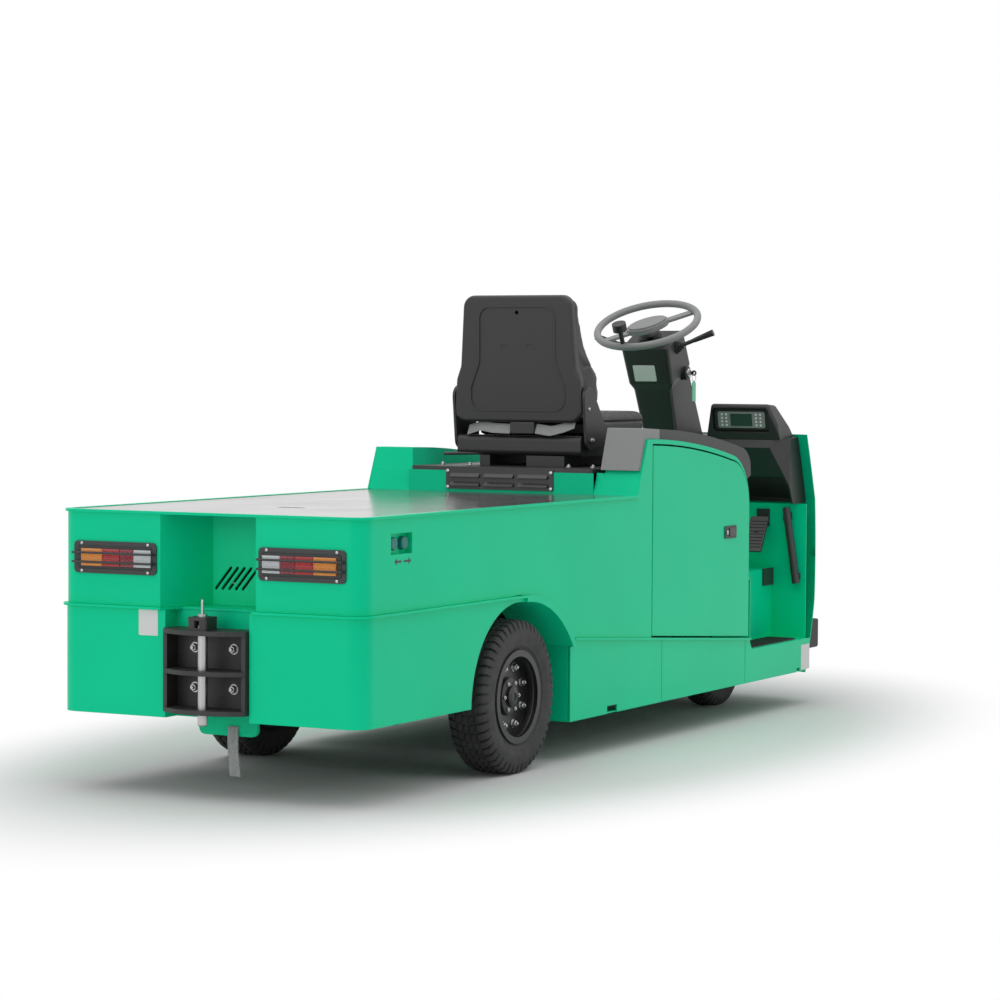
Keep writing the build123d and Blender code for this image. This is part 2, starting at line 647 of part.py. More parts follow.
def make_cockpit_tub():
    wall = HALF - STEP_DEPTH
    wide = HALF - POD_WIDTH - SEAT_GAP
    well_rear = DOOR_FRONT + 30
    floor = (FLOOR_HEIGHT - SHEET, FLOOR_HEIGHT)
    with BuildPart() as tub:
        block((SEAT_BAY_FRONT, DOOR_FRONT + SEAT_GAP), (-wide, wide), floor)
        block((DOOR_FRONT, BULKHEAD + SHEET), (-wall, wall), floor)
        block((SEAT_BAY_FRONT, SEAT_BAY_FRONT + SHEET), (-wide, wide), (FLOOR_HEIGHT, LID_HEIGHT - LID_THICK))
        block((BULKHEAD, BULKHEAD + SHEET), (-HALF + 10, HALF - 10), (FLOOR_HEIGHT, TOE_HEIGHT))
        for side in (-1, 1):
            inner = sorted((side * wall, side * (wall - SHEET)))
            block((well_rear, BULKHEAD + SHEET), inner, (STEP_HEIGHT, FLOOR_HEIGHT))
            reach = sorted((side * (wall - SHEET), side * (HALF - SHEET)))
            block((well_rear - SHEET, well_rear), reach, (STEP_HEIGHT, FLOOR_HEIGHT))
            block((DOOR_FRONT + SEAT_GAP, well_rear), reach, floor)
            front = sorted((side * (wall - SHEET), side * (HALF - 10)))
            block((BULKHEAD, BULKHEAD + SHEET), front, (STEP_HEIGHT - SHEET, FLOOR_HEIGHT))
        under_trim = (-wide - 1, -wide + COVER_INNER + 4)
        notch = (RIGHT_POD_TOP - 148, LID_HEIGHT)
        block((SEAT_BAY_FRONT - 1, SEAT_BAY_FRONT + SHEET + 1), under_trim, notch, Mode.SUBTRACT)
    finish(tub, "cockpit_tub")


def make_chassis():
    rear_z = (RAIL_BOTTOM, RAIL_BOTTOM + RAIL_HEIGHT)
    front_z = (FLOOR_HEIGHT - SHEET - FRONT_RAIL_HEIGHT, FLOOR_HEIGHT - SHEET - SEAT_GAP)
    cross = (-RAIL_SPACING / 2, RAIL_SPACING / 2)
    deck_under = DECK_HEIGHT - DECK_DROP - DECK_THICK - SEAT_GAP
    with BuildPart() as frame:
        for side in (-1, 1):
            middle = side * RAIL_SPACING / 2
            edge = (middle - RAIL_WIDTH / 2, middle + RAIL_WIDTH / 2)
            block((RAIL_REAR, RAIL_STEP), edge, rear_z)
            block((RAIL_STEP - 70, RAIL_FRONT), edge, front_z)
            block((RAIL_STEP - 70, RAIL_STEP), edge, (rear_z[0], front_z[1]))
        for x in (RAIL_REAR, REAR_AXLE - 330, REAR_AXLE + 420, SEAM, RAIL_STEP - 70):
            block((x, x + 60), cross, rear_z)
        block((FRONT_AXLE - 60, FRONT_AXLE), cross, front_z)
        outrigger = HALF + SKIRT_OUT - SHEET - SEAT_GAP
        for x in (RAIL_REAR + 160, SEAM - 40, RAIL_STEP - 60):
            block((x, x + 50), (-outrigger, outrigger), (RAIL_BOTTOM - 70, RAIL_BOTTOM - 40))
            for y in cross:
                block((x, x + 50), (y - 25, y + 25), (RAIL_BOTTOM - 40, RAIL_BOTTOM))
        inside = HALF - SHEET - SEAT_GAP
        for x in (DECK_SPLIT, RAIL_REAR + 200):
            block((x - 25, x + 25), (-inside, inside), (deck_under - 40, deck_under))
            for y in cross:
                block((x - 25, x + 25), (y - 25, y + 25), (rear_z[1], deck_under - 40))
        block((FRONT_AXLE - 40, FRONT_AXLE + 40), (-45, 45), (AXLE_BEAM_TOP + SEAT_GAP, front_z[0]))
        block((RAIL_FRONT - 14, RAIL_FRONT), (-330, 330), (BUMPER_BOTTOM, front_z[1]))
    finish(frame, "chassis_frame")


def make_battery():
    with BuildPart() as battery:
        top = RAIL_BOTTOM + RAIL_HEIGHT + SEAT_GAP
        block((SEAM + 30, RAIL_STEP - 76), (-HALF + 60, HALF - 60), (top, LID_HEIGHT - LID_THICK - 30))
        fillet(battery.edges().filter_by(Axis.Z), 12)
    finish(battery, "battery_box")


def make_rear_axle():
    hub_face = HALF - REAR_TYRE_WIDTH - 1
    with BuildPart() as axle:
        with Locations(Location((REAR_AXLE, 0, REAR_TYRE_RADIUS), (90, 0, 0))):
            Cylinder(48, 2 * (hub_face - 40))
            Cylinder(REAR_STUB_RADIUS, 2 * (HALF - 40))
            Cylinder(118, 150)
        for side in (-1, 1):
            with Locations(Location((REAR_AXLE, side * (hub_face - 20), REAR_TYRE_RADIUS), (90, 0, 0))):
                Cylinder(100, 44)
            y = side * RAIL_SPACING / 2
            spring = (RAIL_BOTTOM - 26, RAIL_BOTTOM - SEAT_GAP)
            block((REAR_AXLE - 55, REAR_AXLE + 55), (y - 32, y + 32), (REAR_TYRE_RADIUS, RAIL_BOTTOM - 26))
            block((REAR_AXLE - 260, REAR_AXLE + 260), (y - 25, y + 25), spring)
        with Locations(Location((REAR_AXLE + 235, 0, REAR_TYRE_RADIUS + 10), (0, 90, 0))):
            Cylinder(105, 330)
    finish(axle, "rear_axle")


def make_front_axle():
    half_beam = KINGPIN_TRACK / 2 - KNUCKLE_RADIUS - 8
    centre = FRONT_TYRE_RADIUS
    arm_low = KNUCKLE_HEIGHT / 2 + YOKE_GAP
    with BuildPart() as axle:
        block((FRONT_AXLE - 30, FRONT_AXLE + 30), (-half_beam, half_beam), (centre - 32, AXLE_BEAM_TOP))
        upright = (centre - arm_low - YOKE_ARM, centre + arm_low + YOKE_ARM)
        block((FRONT_AXLE - 24, FRONT_AXLE + 24), (-half_beam, -half_beam + 12), upright)
        block((FRONT_AXLE - 24, FRONT_AXLE + 24), (half_beam - 12, half_beam), upright)
        for side in (-1, 1):
            for level in (-arm_low - YOKE_ARM, arm_low):
                edge = sorted((side * half_beam, side * KINGPIN_TRACK / 2))
                z = centre + level
                block((FRONT_AXLE - 24, FRONT_AXLE + 24), edge, (z, z + YOKE_ARM))
                with Locations((FRONT_AXLE, side * KINGPIN_TRACK / 2, z + YOKE_ARM / 2)):
                    Cylinder(24, YOKE_ARM)
            with Locations((FRONT_AXLE, side * KINGPIN_TRACK / 2, centre)):
                Cylinder(KINGPIN_RADIUS + RUNNING_GAP, 300, mode=Mode.SUBTRACT)
    finish(axle, "front_axle")


def make_knuckles():
    reach = KNUCKLE_HEIGHT / 2 + YOKE_GAP + YOKE_ARM
    for side, name in ((-1, "right"), (1, "left")):
        pin_y = side * KINGPIN_TRACK / 2
        end_y = side * (FRONT_TRACK / 2 + 34)
        with BuildPart() as knuckle:
            with Locations((FRONT_AXLE, pin_y, FRONT_TYRE_RADIUS)):
                Cylinder(KNUCKLE_RADIUS, KNUCKLE_HEIGHT)
                Cylinder(KINGPIN_RADIUS, 2 * reach)
            with Locations(Location((FRONT_AXLE, (pin_y + end_y) / 2, FRONT_TYRE_RADIUS), (90, 0, 0))):
                Cylinder(FRONT_STUB_RADIUS, abs(end_y - pin_y))
            with Locations(Location((FRONT_AXLE, pin_y + side * 22, FRONT_TYRE_RADIUS), (90, 0, 0))):
                Cylinder(30, 14)
        finish(knuckle, f"knuckle_{name}")


def wheel_section(radius, width, rim_radius, y):
    """Tyre and rim half sections share the bead seat; this is the tyre's."""
    half = width / 2
    bead = half - 14
    seat = rim_radius - 10 + TYRE_SEAT
    shoulder = radius - 12
    belly = (rim_radius + shoulder) / 2 + 6
    with BuildSketch(Plane(origin=(0, y, 0), x_dir=(0, 1, 0), z_dir=(1, 0, 0))) as face:
        with BuildLine():
            Polyline((-bead, rim_radius + 6), (-bead, seat), (bead, seat), (bead, rim_radius + 6))
            ThreePointArc((bead, rim_radius + 6), (half, belly), (half - 7, shoulder))
            ThreePointArc((half - 7, shoulder), (half - 12, radius - 4), (half - 22, radius))
            Line((half - 22, radius), (22 - half, radius))
            ThreePointArc((22 - half, radius), (12 - half, radius - 4), (7 - half, shoulder))
            ThreePointArc((7 - half, shoulder), (-half, belly), (-bead, rim_radius + 6))
        make_face()
    return face.sketch


def rim_section(width, rim_radius, bore, offset_out, hub_radius, hub_length, side):
    """Half section of a disc wheel, dished so that its hub sits off the middle."""
    half = width / 2 - 14
    seat = rim_radius - 10
    disc = side * offset_out
    with BuildSketch(Plane(origin=(0, 0, 0), x_dir=(0, 1, 0), z_dir=(1, 0, 0))) as face:
        with BuildLine():
            Polyline(
                (-half - 6, rim_radius + 4),
                (-half - 0.3, rim_radius + 4),
                (-half - 0.3, seat),
                (half + 0.3, seat),
                (half + 0.3, rim_radius + 4),
                (half + 6, rim_radius + 4),
                (half + 6, seat - 7),
                (-half - 6, seat - 7),
                close=True,
            )
        make_face()
        with Locations((disc, (seat + hub_radius) / 2 - 2)):
            Rectangle(9, seat - hub_radius + 4)
        with Locations((disc - side * (hub_length / 2 - 12), (hub_radius + bore) / 2)):
            Rectangle(hub_length, hub_radius - bore)
    return face.sketch


def make_wheels():
    """Four tyres and four rims; each rim runs on its stub."""
    rear = (REAR_AXLE, HALF - 1 - REAR_TYRE_WIDTH / 2, REAR_TYRE_RADIUS, REAR_TYRE_WIDTH, REAR_RIM_RADIUS)
    front = (FRONT_AXLE, FRONT_TRACK / 2, FRONT_TYRE_RADIUS, FRONT_TYRE_WIDTH, FRONT_RIM_RADIUS)
    hubs = {"rear": (REAR_STUB_RADIUS, 18, 62, 70), "front": (FRONT_STUB_RADIUS, 6, 42, 52)}
    for end, (x, y, radius, width, rim_radius) in (("rear", rear), ("front", front)):
        stub, disc_out, hub_radius, hub_length = hubs[end]
        for side, name in ((-1, "right"), (1, "left")):
            place = Location((x, side * y, radius))
            with BuildPart() as tyre:
                revolve(wheel_section(radius, width, rim_radius, 0), axis=Axis.Y)
            tyre.part.locate(place)
            finish(tyre, f"tyre_{end}_{name}")
            with BuildPart() as rim:
                bore = stub + RUNNING_GAP
                section = rim_section(width, rim_radius, bore, disc_out, hub_radius, hub_length, side)
                revolve(section, axis=Axis.Y)
            rim.part.locate(place)
            finish(rim, f"rim_{end}_{name}")


def make_seat():
    half = SEAT_WIDTH / 2
    with BuildPart() as lid:
        reach = (RISER + 2, SEAT_BAY_FRONT + SHEET + 8)
        block(reach, (-LID_WIDTH / 2, LID_WIDTH / 2), (LID_HEIGHT - LID_THICK + SEAT_GAP, LID_HEIGHT))
        fillet(lid.edges().filter_by(Axis.Z), 12)
    finish(lid, "seat_lid")
    front = CUSHION_REAR + CUSHION_LENGTH
    rear = SEAT_BACK_FOOT - BACK_SHELL + 8
    slide_top = LID_HEIGHT + SEAT_RAIL_HEIGHT
    with BuildPart() as base:
        for y in (-140, 140):
            block((rear + 10, front - 40), (y - 20, y + 20), (LID_HEIGHT + SEAT_GAP, slide_top))
        block((rear + 4, rear + 120), (-180, -30), (LID_HEIGHT + SEAT_GAP, slide_top))
        pan = [
            (rear, slide_top),
            (rear, CUSHION_BOTTOM + 8),
            (CUSHION_REAR - 8, CUSHION_BOTTOM - SEAT_GAP),
            (front - 10, CUSHION_BOTTOM - SEAT_GAP),
            (front - 10, slide_top),
        ]
        with BuildSketch(side_plane(half - 4)) as profile:
            with BuildLine():
                Polyline(*pan, close=True)
            make_face()
            fillet(profile.vertices().filter_by(lambda v: v.X < rear + 1), 20)
        extrude(amount=SEAT_WIDTH - 8)
        with Locations(Location((rear + 60, 0, slide_top + 6), (90, 0, 0))):
            Cylinder(6, 2 * 194)
    finish(base, "seat_base")
    with BuildPart() as cushion:
        cushion_top = CUSHION_BOTTOM + CUSHION_THICK
        block((CUSHION_REAR, front), (-half, half), (CUSHION_BOTTOM, cushion_top))
        fillet(cushion.edges().filter_by(Axis.Z), 60)
        fillet(cushion.faces().sort_by(Axis.Z)[-1].edges(), 25)
    finish(cushion, "seat_cushion")
    with BuildPart() as shell:
        extrude(back_outline(0, -BACK_SHELL), amount=BACK_SHELL - SEAT_GAP)
        fillet(shell.faces().sort_by(Axis.X)[0].edges(), 12)
        extrude(contour(3), amount=4)
        extrude(contour(-3), amount=4, mode=Mode.SUBTRACT)
        level = BACK_TOP - BACK_BOTTOM
        with BuildSketch(back_plane(-BACK_SHELL)):
            with Locations((-51, level - 185), (51, level - 185)):
                Circle(13)
        extrude(amount=3, mode=Mode.SUBTRACT)
        with BuildSketch(back_plane(-BACK_SHELL - 10)):
            with Locations((0, level - 61)):
                Circle(7)
        extrude(amount=BACK_SHELL + 20, mode=Mode.SUBTRACT)
        for side in (-1, 1):
            edge = max(side * (half + 4), side * (half + 14))
            with BuildSketch(side_plane(edge)):
                for x, z, radius in ((8, 1192, 38), (22, 1040, 34), (122, 1058, 32)):
                    with Locations((SEAT_BACK_FOOT + x, z)):
                        Circle(radius)
                make_hull()
            extrude(amount=10)
            joint = sorted((side * (half - 30), side * (half + 8)))
            block((SEAT_BACK_FOOT - 20, SEAT_BACK_FOOT - 8), joint, (BACK_BOTTOM + 20, BACK_BOTTOM + 90))
    finish(shell, "seat_back_shell")
    with BuildPart() as pad:
        extrude(back_outline(3, 0), amount=BACK_BOLSTER)
        profile = [(0, 34), (118, 44), (BACK_BOLSTER, 110), (126, 178), (90, 256), (56, 350), (BACK_PAD, 440)]
        extrude(pad_outline(profile, 0, half + 10), amount=SEAT_WIDTH + 20, mode=Mode.INTERSECT)
        extrude(pad_hollow(profile, 150), amount=300, mode=Mode.SUBTRACT)
    finish(pad, "seat_back_pad")


def back_plane(forward):
    """Leaning plane of the seat back, its sketch reading y and height over the foot."""
    lean = math.radians(BACK_LEAN)
    facing = (math.cos(lean), 0, math.sin(lean))
    return Plane(origin=(SEAT_BACK_FOOT, 0, BACK_BOTTOM), x_dir=(0, 1, 0), z_dir=facing).offset(forward)


def contour(grow):
    """Raised line pressed into the rear of the seat shell."""
    height = BACK_TOP - BACK_BOTTOM
    half_line = [(150, height - 40), (152, height - 236), (187, height - 326), (187, 42)]
    line = half_line + [(-y, z) for y, z in reversed(half_line)]
    with BuildSketch(back_plane(-BACK_SHELL - 2)) as outline:
        with BuildLine():
            Polyline(*line, close=True)
        make_face()
        fillet(outline.vertices(), 42)
        offset(amount=grow, kind=Kind.ARC, mode=Mode.REPLACE)
    return outline.sketch


def pad_outline(profile, back, y):
    """Side view of the back pad from (forward, height) points, thicker at the waist."""
    points = [(SEAT_BACK_FOOT + x - back, BACK_BOTTOM + z) for x, z in profile]
    rear = SEAT_BACK_FOOT - 40
    with BuildSketch(side_plane(y)) as face:
        with BuildLine():
            Polyline((rear, BACK_TOP + 10), (rear, BACK_BOTTOM), points[0], points[1])
            Spline(*points[1:])
            Polyline(points[-1], (points[-1][0] - 16, BACK_TOP + 10), (rear, BACK_TOP + 10))
        make_face()
    return face.sketch


def pad_hollow(profile, y):
    """What is scooped out between the two bolsters of the back pad, in side view."""
    points = [(SEAT_BACK_FOOT + 0.72 * x + 12, BACK_BOTTOM + z) for x, z in profile[1:]]
    front = SEAT_BACK_FOOT + BACK_BOLSTER + 40
    with BuildSketch(side_plane(y)) as face:
        with BuildLine():
            Spline(*points)
            Polyline(points[-1], (front, points[-1][1]), (front, points[0][1]), points[0])
        make_face()
    return face.sketch


def back_outline(inset, forward):
    """Seat back seen square on, with a waist at its sides, on its leaning plane."""
    height = BACK_TOP - BACK_BOTTOM
    with BuildSketch(back_plane(forward)) as outline:
        with BuildLine():
            Polyline(
                (-250 + inset, inset),
                (250 - inset, inset),
                (252 - inset, 80),
                (246 - inset, height - 296),
                (229 - inset, height - 250),
                (213 - inset, height - inset),
                (inset - 213, height - inset),
                (inset - 229, height - 250),
                (inset - 246, height - 296),
                (inset - 252, 80),
                close=True,
            )
        make_face()
        fillet(outline.vertices().filter_by(lambda v: v.Z > BACK_TOP - 20), 52)
        fillet(outline.vertices().filter_by(lambda v: v.Z < BACK_BOTTOM + 20), 44)
    return outline.sketch


def steer_point(along, up):
    """Point on the steering axis, a distance down from the wheel's hub."""
    lean = math.radians(WHEEL_TILT)
    x = WHEEL_HUB_X + along * math.sin(lean) + up * math.cos(lean)
    z = WHEEL_HUB_Z - along * math.cos(lean) + up * math.sin(lean)
    return x, z


def steer_plane(along):
    """Plane square to the steering axis, normal up along it."""
    x, z = steer_point(along, 0)
    lean = math.radians(WHEEL_TILT)
    return Plane(origin=(x, 0, z), x_dir=(0, -1, 0), z_dir=(-math.sin(lean), 0, math.cos(lean)))


def steer_section(along, width, rear, front):
    """Rounded section of the column cover between two distances from its axis."""
    with BuildSketch(steer_plane(along)) as section:
        with Locations((0, (rear + front) / 2)):
            RectangleRounded(width, front - rear, 14)
    return section.sketch


def stalk_line(side):
    """Start and direction of the control stalk on one side of the column head."""
    x, z = steer_point(COLUMN_TOP_DROP + 34, 16)
    start = (x, side * 92, z)
    way = (0.15, side, 0.4) if side < 0 else (-0.03, side, 0.27)
    return Plane(origin=start, z_dir=way)


def make_steering():
    low = COLUMN_TOP_DROP + HEAD_LENGTH
    with BuildPart() as column:
        head = [steer_section(COLUMN_TOP_DROP, 200, -67, 98), steer_section(low, 186, -75, 115)]
        neck = steer_section(low + 28, 160, -70, 118)
        foot = steer_section(COLUMN_TOP_DROP + COLUMN_LENGTH, 130, -90, 165)
        loft([*head, neck, foot], ruled=True)
        with BuildSketch(steer_plane(COLUMN_TOP_DROP + 60)):
            Circle(STEER_SHAFT_RADIUS)
        extrude(amount=COLUMN_TOP_DROP + 60 - 8)
        with BuildSketch(steer_plane(COLUMN_TOP_DROP + 2)):
            Circle(62)
        with BuildSketch(steer_plane(COLUMN_TOP_DROP - 20)):
            Circle(48)
        loft()
        key = steer_point(low + 14, 52)
        with BuildSketch(Plane(origin=(key[0], -70, key[1]), x_dir=(1, 0, 0), z_dir=(0, -1, 0))):
            Circle(26)
        extrude(amount=36)
        for side in (-1, 1):
            line = stalk_line(side)
            for ring in range(4):
                with BuildSketch(line.offset(ring * 9)):
                    Circle(25 - 3.5 * ring)
                extrude(amount=7)
            with BuildSketch(line):
                Circle(8)
            extrude(amount=80)
            with BuildSketch(line.offset(78)):
                Circle(9)
            with BuildSketch(line.offset(160)):
                Circle(13)
            loft()
        add(dash_block(-SEAT_GAP, 0), mode=Mode.SUBTRACT)
    finish(column, "steering_column")
    with BuildPart() as wheel:
        hub = (WHEEL_HUB_X, 0, WHEEL_HUB_Z)
        lean = math.radians(WHEEL_TILT)
        with BuildSketch(Plane(origin=hub, x_dir=(0, 1, 0), z_dir=(math.cos(lean), 0, math.sin(lean)))):
            with Locations((STEER_WHEEL_RADIUS, 0)):
                Circle(STEER_RIM_RADIUS)
        revolve(axis=Axis(hub, steer_plane(0).z_dir))
        with BuildSketch(steer_plane(34)):
            Circle(42)
        extrude(amount=22)
        for level, shrink, height in ((14, 0, 20), (-6, 8, 6)):
            with BuildSketch(steer_plane(level)):
                Ellipse(84 - shrink, 52 - shrink, rotation=45)
            extrude(amount=height)
        x, z = steer_point(8, 0)
        for turn in SPOKE_ANGLES:
            way = (math.cos(lean) * math.sin(turn), math.cos(turn), math.sin(lean) * math.sin(turn))
            with BuildSketch(Plane(origin=(x, 0, z), x_dir=steer_plane(0).z_dir, z_dir=way)):
                Rectangle(10, 30)
            extrude(amount=STEER_WHEEL_RADIUS - 6)
        knob_reach = STEER_WHEEL_RADIUS - 5
        knob = (-knob_reach * math.cos(KNOB_ANGLE), knob_reach * math.sin(KNOB_ANGLE))
        for start, radius, length in ((0, 9, 70), (-66, 27, 30)):
            with BuildSketch(steer_plane(start)):
                with Locations(knob):
                    Circle(radius)
            extrude(amount=length)
        with BuildSketch(steer_plane(40)):
            Circle(STEER_SHAFT_RADIUS + RUNNING_GAP)
        extrude(amount=34, mode=Mode.SUBTRACT)
    finish(wheel, "steering_wheel")


def dash_block(inset, drop):
    """Body of the dash, set in on every face, inside the nose."""
    half = DASH_WIDTH / 2 - inset
    outline = [
        (DASH_FACE + DASH_RAKE + inset, DASH_BOTTOM - drop),
        (DASH_FACE + inset, DASH_TOP - 30),
        (DASH_FACE + 14 + inset, DASH_TOP - inset),
        (NOSE - COWL_LEAN, COWL_TOP - 3 - inset),
        (NOSE, COWL_TOP - 3 - inset),
        (NOSE, DASH_BOTTOM - drop),
    ]
    plan = [
        (DASH_FACE - 10 + inset, half - DASH_CORNER * 0.7),
        (DASH_FACE + inset, half - DASH_CORNER * 0.7),
        (DASH_FACE + DASH_CORNER + inset, half),
        (NOSE, half),
    ]
    plan += [(x, -y) for x, y in reversed(plan)]
    with BuildPart() as body:
        extrude(side_face(outline, half), amount=2 * half)
        with BuildSketch(Plane.XY.offset(DASH_BOTTOM - drop)):
            with BuildLine():
                Polyline(*plan, close=True)
            make_face()
        extrude(amount=DASH_TOP, mode=Mode.INTERSECT)
        add(nose_body(SHEET + SEAT_GAP + inset), mode=Mode.INTERSECT)
    return body.part


def dash_top_at(x):
    """Height just over the sloping top of the dash."""
    rise = COWL_TOP - 3 - DASH_TOP
    return DASH_TOP + SEAT_GAP + rise * (x - DASH_FACE - 14) / (NOSE - COWL_LEAN - DASH_FACE - 14)


def make_dash():
    with BuildPart() as dash:
        add(dash_block(0, 0))
        add(dash_block(SHEET, 20), mode=Mode.SUBTRACT)
    finish(dash, "dash_body")
    with BuildPart() as binnacle:
        hood = [
            (DASH_FACE + 16, dash_top_at(DASH_FACE + 16)),
            (DASH_FACE - 12, BINNACLE_TOP),
            (DASH_FACE + 70, BINNACLE_TOP - 6),
            (DASH_FACE + 150, dash_top_at(DASH_FACE + 150)),
        ]
        extrude(side_face(hood, BINNACLE_CENTRE + BINNACLE_WIDTH / 2), amount=BINNACLE_WIDTH)
        with BuildSketch(cross_plane(DASH_FACE - 40)):
            with BuildLine():
                Polyline(
                    (BINNACLE_CENTRE - BINNACLE_WIDTH / 2, DASH_TOP - 20),
                    (BINNACLE_CENTRE - BINNACLE_WIDTH * 0.46, DASH_TOP + 60),
                    (BINNACLE_CENTRE - BINNACLE_WIDTH * 0.34, BINNACLE_TOP + 10),
                    (BINNACLE_CENTRE + BINNACLE_WIDTH * 0.38, BINNACLE_TOP + 10),
                    (BINNACLE_CENTRE + BINNACLE_WIDTH / 2, DASH_TOP - 20),
                    close=True,
                )
            make_face()
        extrude(amount=300, mode=Mode.INTERSECT)
        top = binnacle.edges().filter_by(lambda e: e.center().Z > DASH_TOP + 60)
        fillet(top, 14)
        centre = (DASH_FACE - 4, BINNACLE_CENTRE + 2, (DASH_TOP + BINNACLE_TOP) / 2 + 4)
        face = Plane(origin=centre, x_dir=(0, -1, 0), z_dir=(-1, 0, -0.2))
        with BuildSketch(face.offset(34)):
            RectangleRounded(BINNACLE_WIDTH - 84, 92, 16)
        extrude(amount=-58, mode=Mode.SUBTRACT)
    finish(binnacle, "binnacle")


def nose_body(inset):
    """Solid inside the nose, its curved face set back by a distance."""
    crown = (NOSE - COWL_LEAN - inset, COWL_TOP)
    brow = (NOSE - 46 - inset, 915)
    chest = (NOSE - 8 - inset, 790)
    waist = (NOSE - inset, 590)
    chin = (NOSE - 5 - inset, 400)
    jaw = (NOSE - 38 - inset, 262)
    foot = (NOSE - 85 - inset, COWL_BOTTOM)
    with BuildPart() as body:
        with BuildSketch(Plane.XZ):
            with BuildLine():
                ThreePointArc(crown, brow, chest)
                ThreePointArc(chest, waist, chin)
                ThreePointArc(chin, jaw, foot)
                Polyline(foot, (NOSE - 700, COWL_BOTTOM), (NOSE - 700, COWL_TOP), crown)
            make_face()
        revolve(axis=Axis((NOSE - NOSE_RADIUS, 0, 0), (0, 0, 1)), revolution_arc=30)
        mirror(about=Plane.XZ)
    return body.part


def make_cowl():
    with BuildPart() as cowl:
        add(nose_body(0))
        add(nose_body(SHEET), mode=Mode.SUBTRACT)
        block((NOSE - 250, NOSE), (-HALF, HALF), (0, COWL_TOP + 10), Mode.INTERSECT)
        with Locations(*[(NOSE - 60, s * HEADLAMP_SPACING / 2, HEADLAMP_HEIGHT) for s in (-1, 1)]):
            Cylinder(HEADLAMP_RADIUS + SEAT_GAP, 200, rotation=(0, 90, 0), mode=Mode.SUBTRACT)
    finish(cowl, "front_cowl")
    lens_x = NOSE - NOSE_RADIUS + math.sqrt(NOSE_RADIUS**2 - (HEADLAMP_SPACING / 2 - HEADLAMP_RADIUS) ** 2)
    with BuildPart() as lamps:
        with Locations(*[(lens_x - 22, s * HEADLAMP_SPACING / 2, HEADLAMP_HEIGHT) for s in (-1, 1)]):
            Cylinder(HEADLAMP_RADIUS, 44, rotation=(0, 90, 0))
    finish(lamps, "headlamps")
    with BuildPart() as bumper:
        with BuildSketch(Plane.XZ):
            with Locations((NOSE + BUMPER_REACH - 50, BUMPER_BOTTOM + BUMPER_HEIGHT / 2)):
                RectangleRounded(100, BUMPER_HEIGHT, 12)
        revolve(axis=Axis((NOSE - NOSE_RADIUS, 0, 0), (0, 0, 1)), revolution_arc=30)
        mirror(about=Plane.XZ)
        add(nose_body(-SEAT_GAP), mode=Mode.SUBTRACT)
        block((NOSE - 250, NOSE + 100), (-HALF, HALF), (0, COWL_TOP), Mode.INTERSECT)
    finish(bumper, "front_bumper")


def make_tail_lamps():
    with BuildPart() as lamps:
        with Locations(*[(REAR - LENS_OUT / 2, s * TAIL_LAMP_SPACING / 2, TAIL_LAMP_LEVEL) for s in (-1, 1)]):
            Box(LENS_OUT - 2 * SEAT_GAP, TAIL_LAMP_WIDTH - 60, TAIL_LAMP_HEIGHT - 46)
    finish(lamps, "tail_lamps")
    with BuildPart() as guards:
        with BuildSketch(cross_plane(REAR - SEAT_GAP)):
            with Locations(*[(s * TAIL_LAMP_SPACING / 2, TAIL_LAMP_LEVEL) for s in (-1, 1)]):
                RectangleRounded(TAIL_LAMP_WIDTH, TAIL_LAMP_HEIGHT, 14)
                hole = (TAIL_LAMP_WIDTH - 2 * GUARD_BORDER, TAIL_LAMP_HEIGHT - 2 * GUARD_BORDER)
                RectangleRounded(*hole, 8, mode=Mode.SUBTRACT)
        extrude(amount=-GUARD_THICK)
        for side in (-1, 1):
            for level in (-14, 14):
                z = TAIL_LAMP_LEVEL + level
                y = side * TAIL_LAMP_SPACING / 2
                with Locations(Location((REAR - ROD_STAND, y, z), (90, 0, 0))):
                    Cylinder(ROD_RADIUS, TAIL_LAMP_WIDTH - 8)
                for end in (-1, 1):
                    y_end = y + end * (TAIL_LAMP_WIDTH / 2 - 7)
                    with Locations(Location((REAR - ROD_STAND / 2 - 1, y_end, z), (0, 90, 0))):
                        Cylinder(ROD_RADIUS, ROD_STAND)
    finish(guards, "tail_guards")


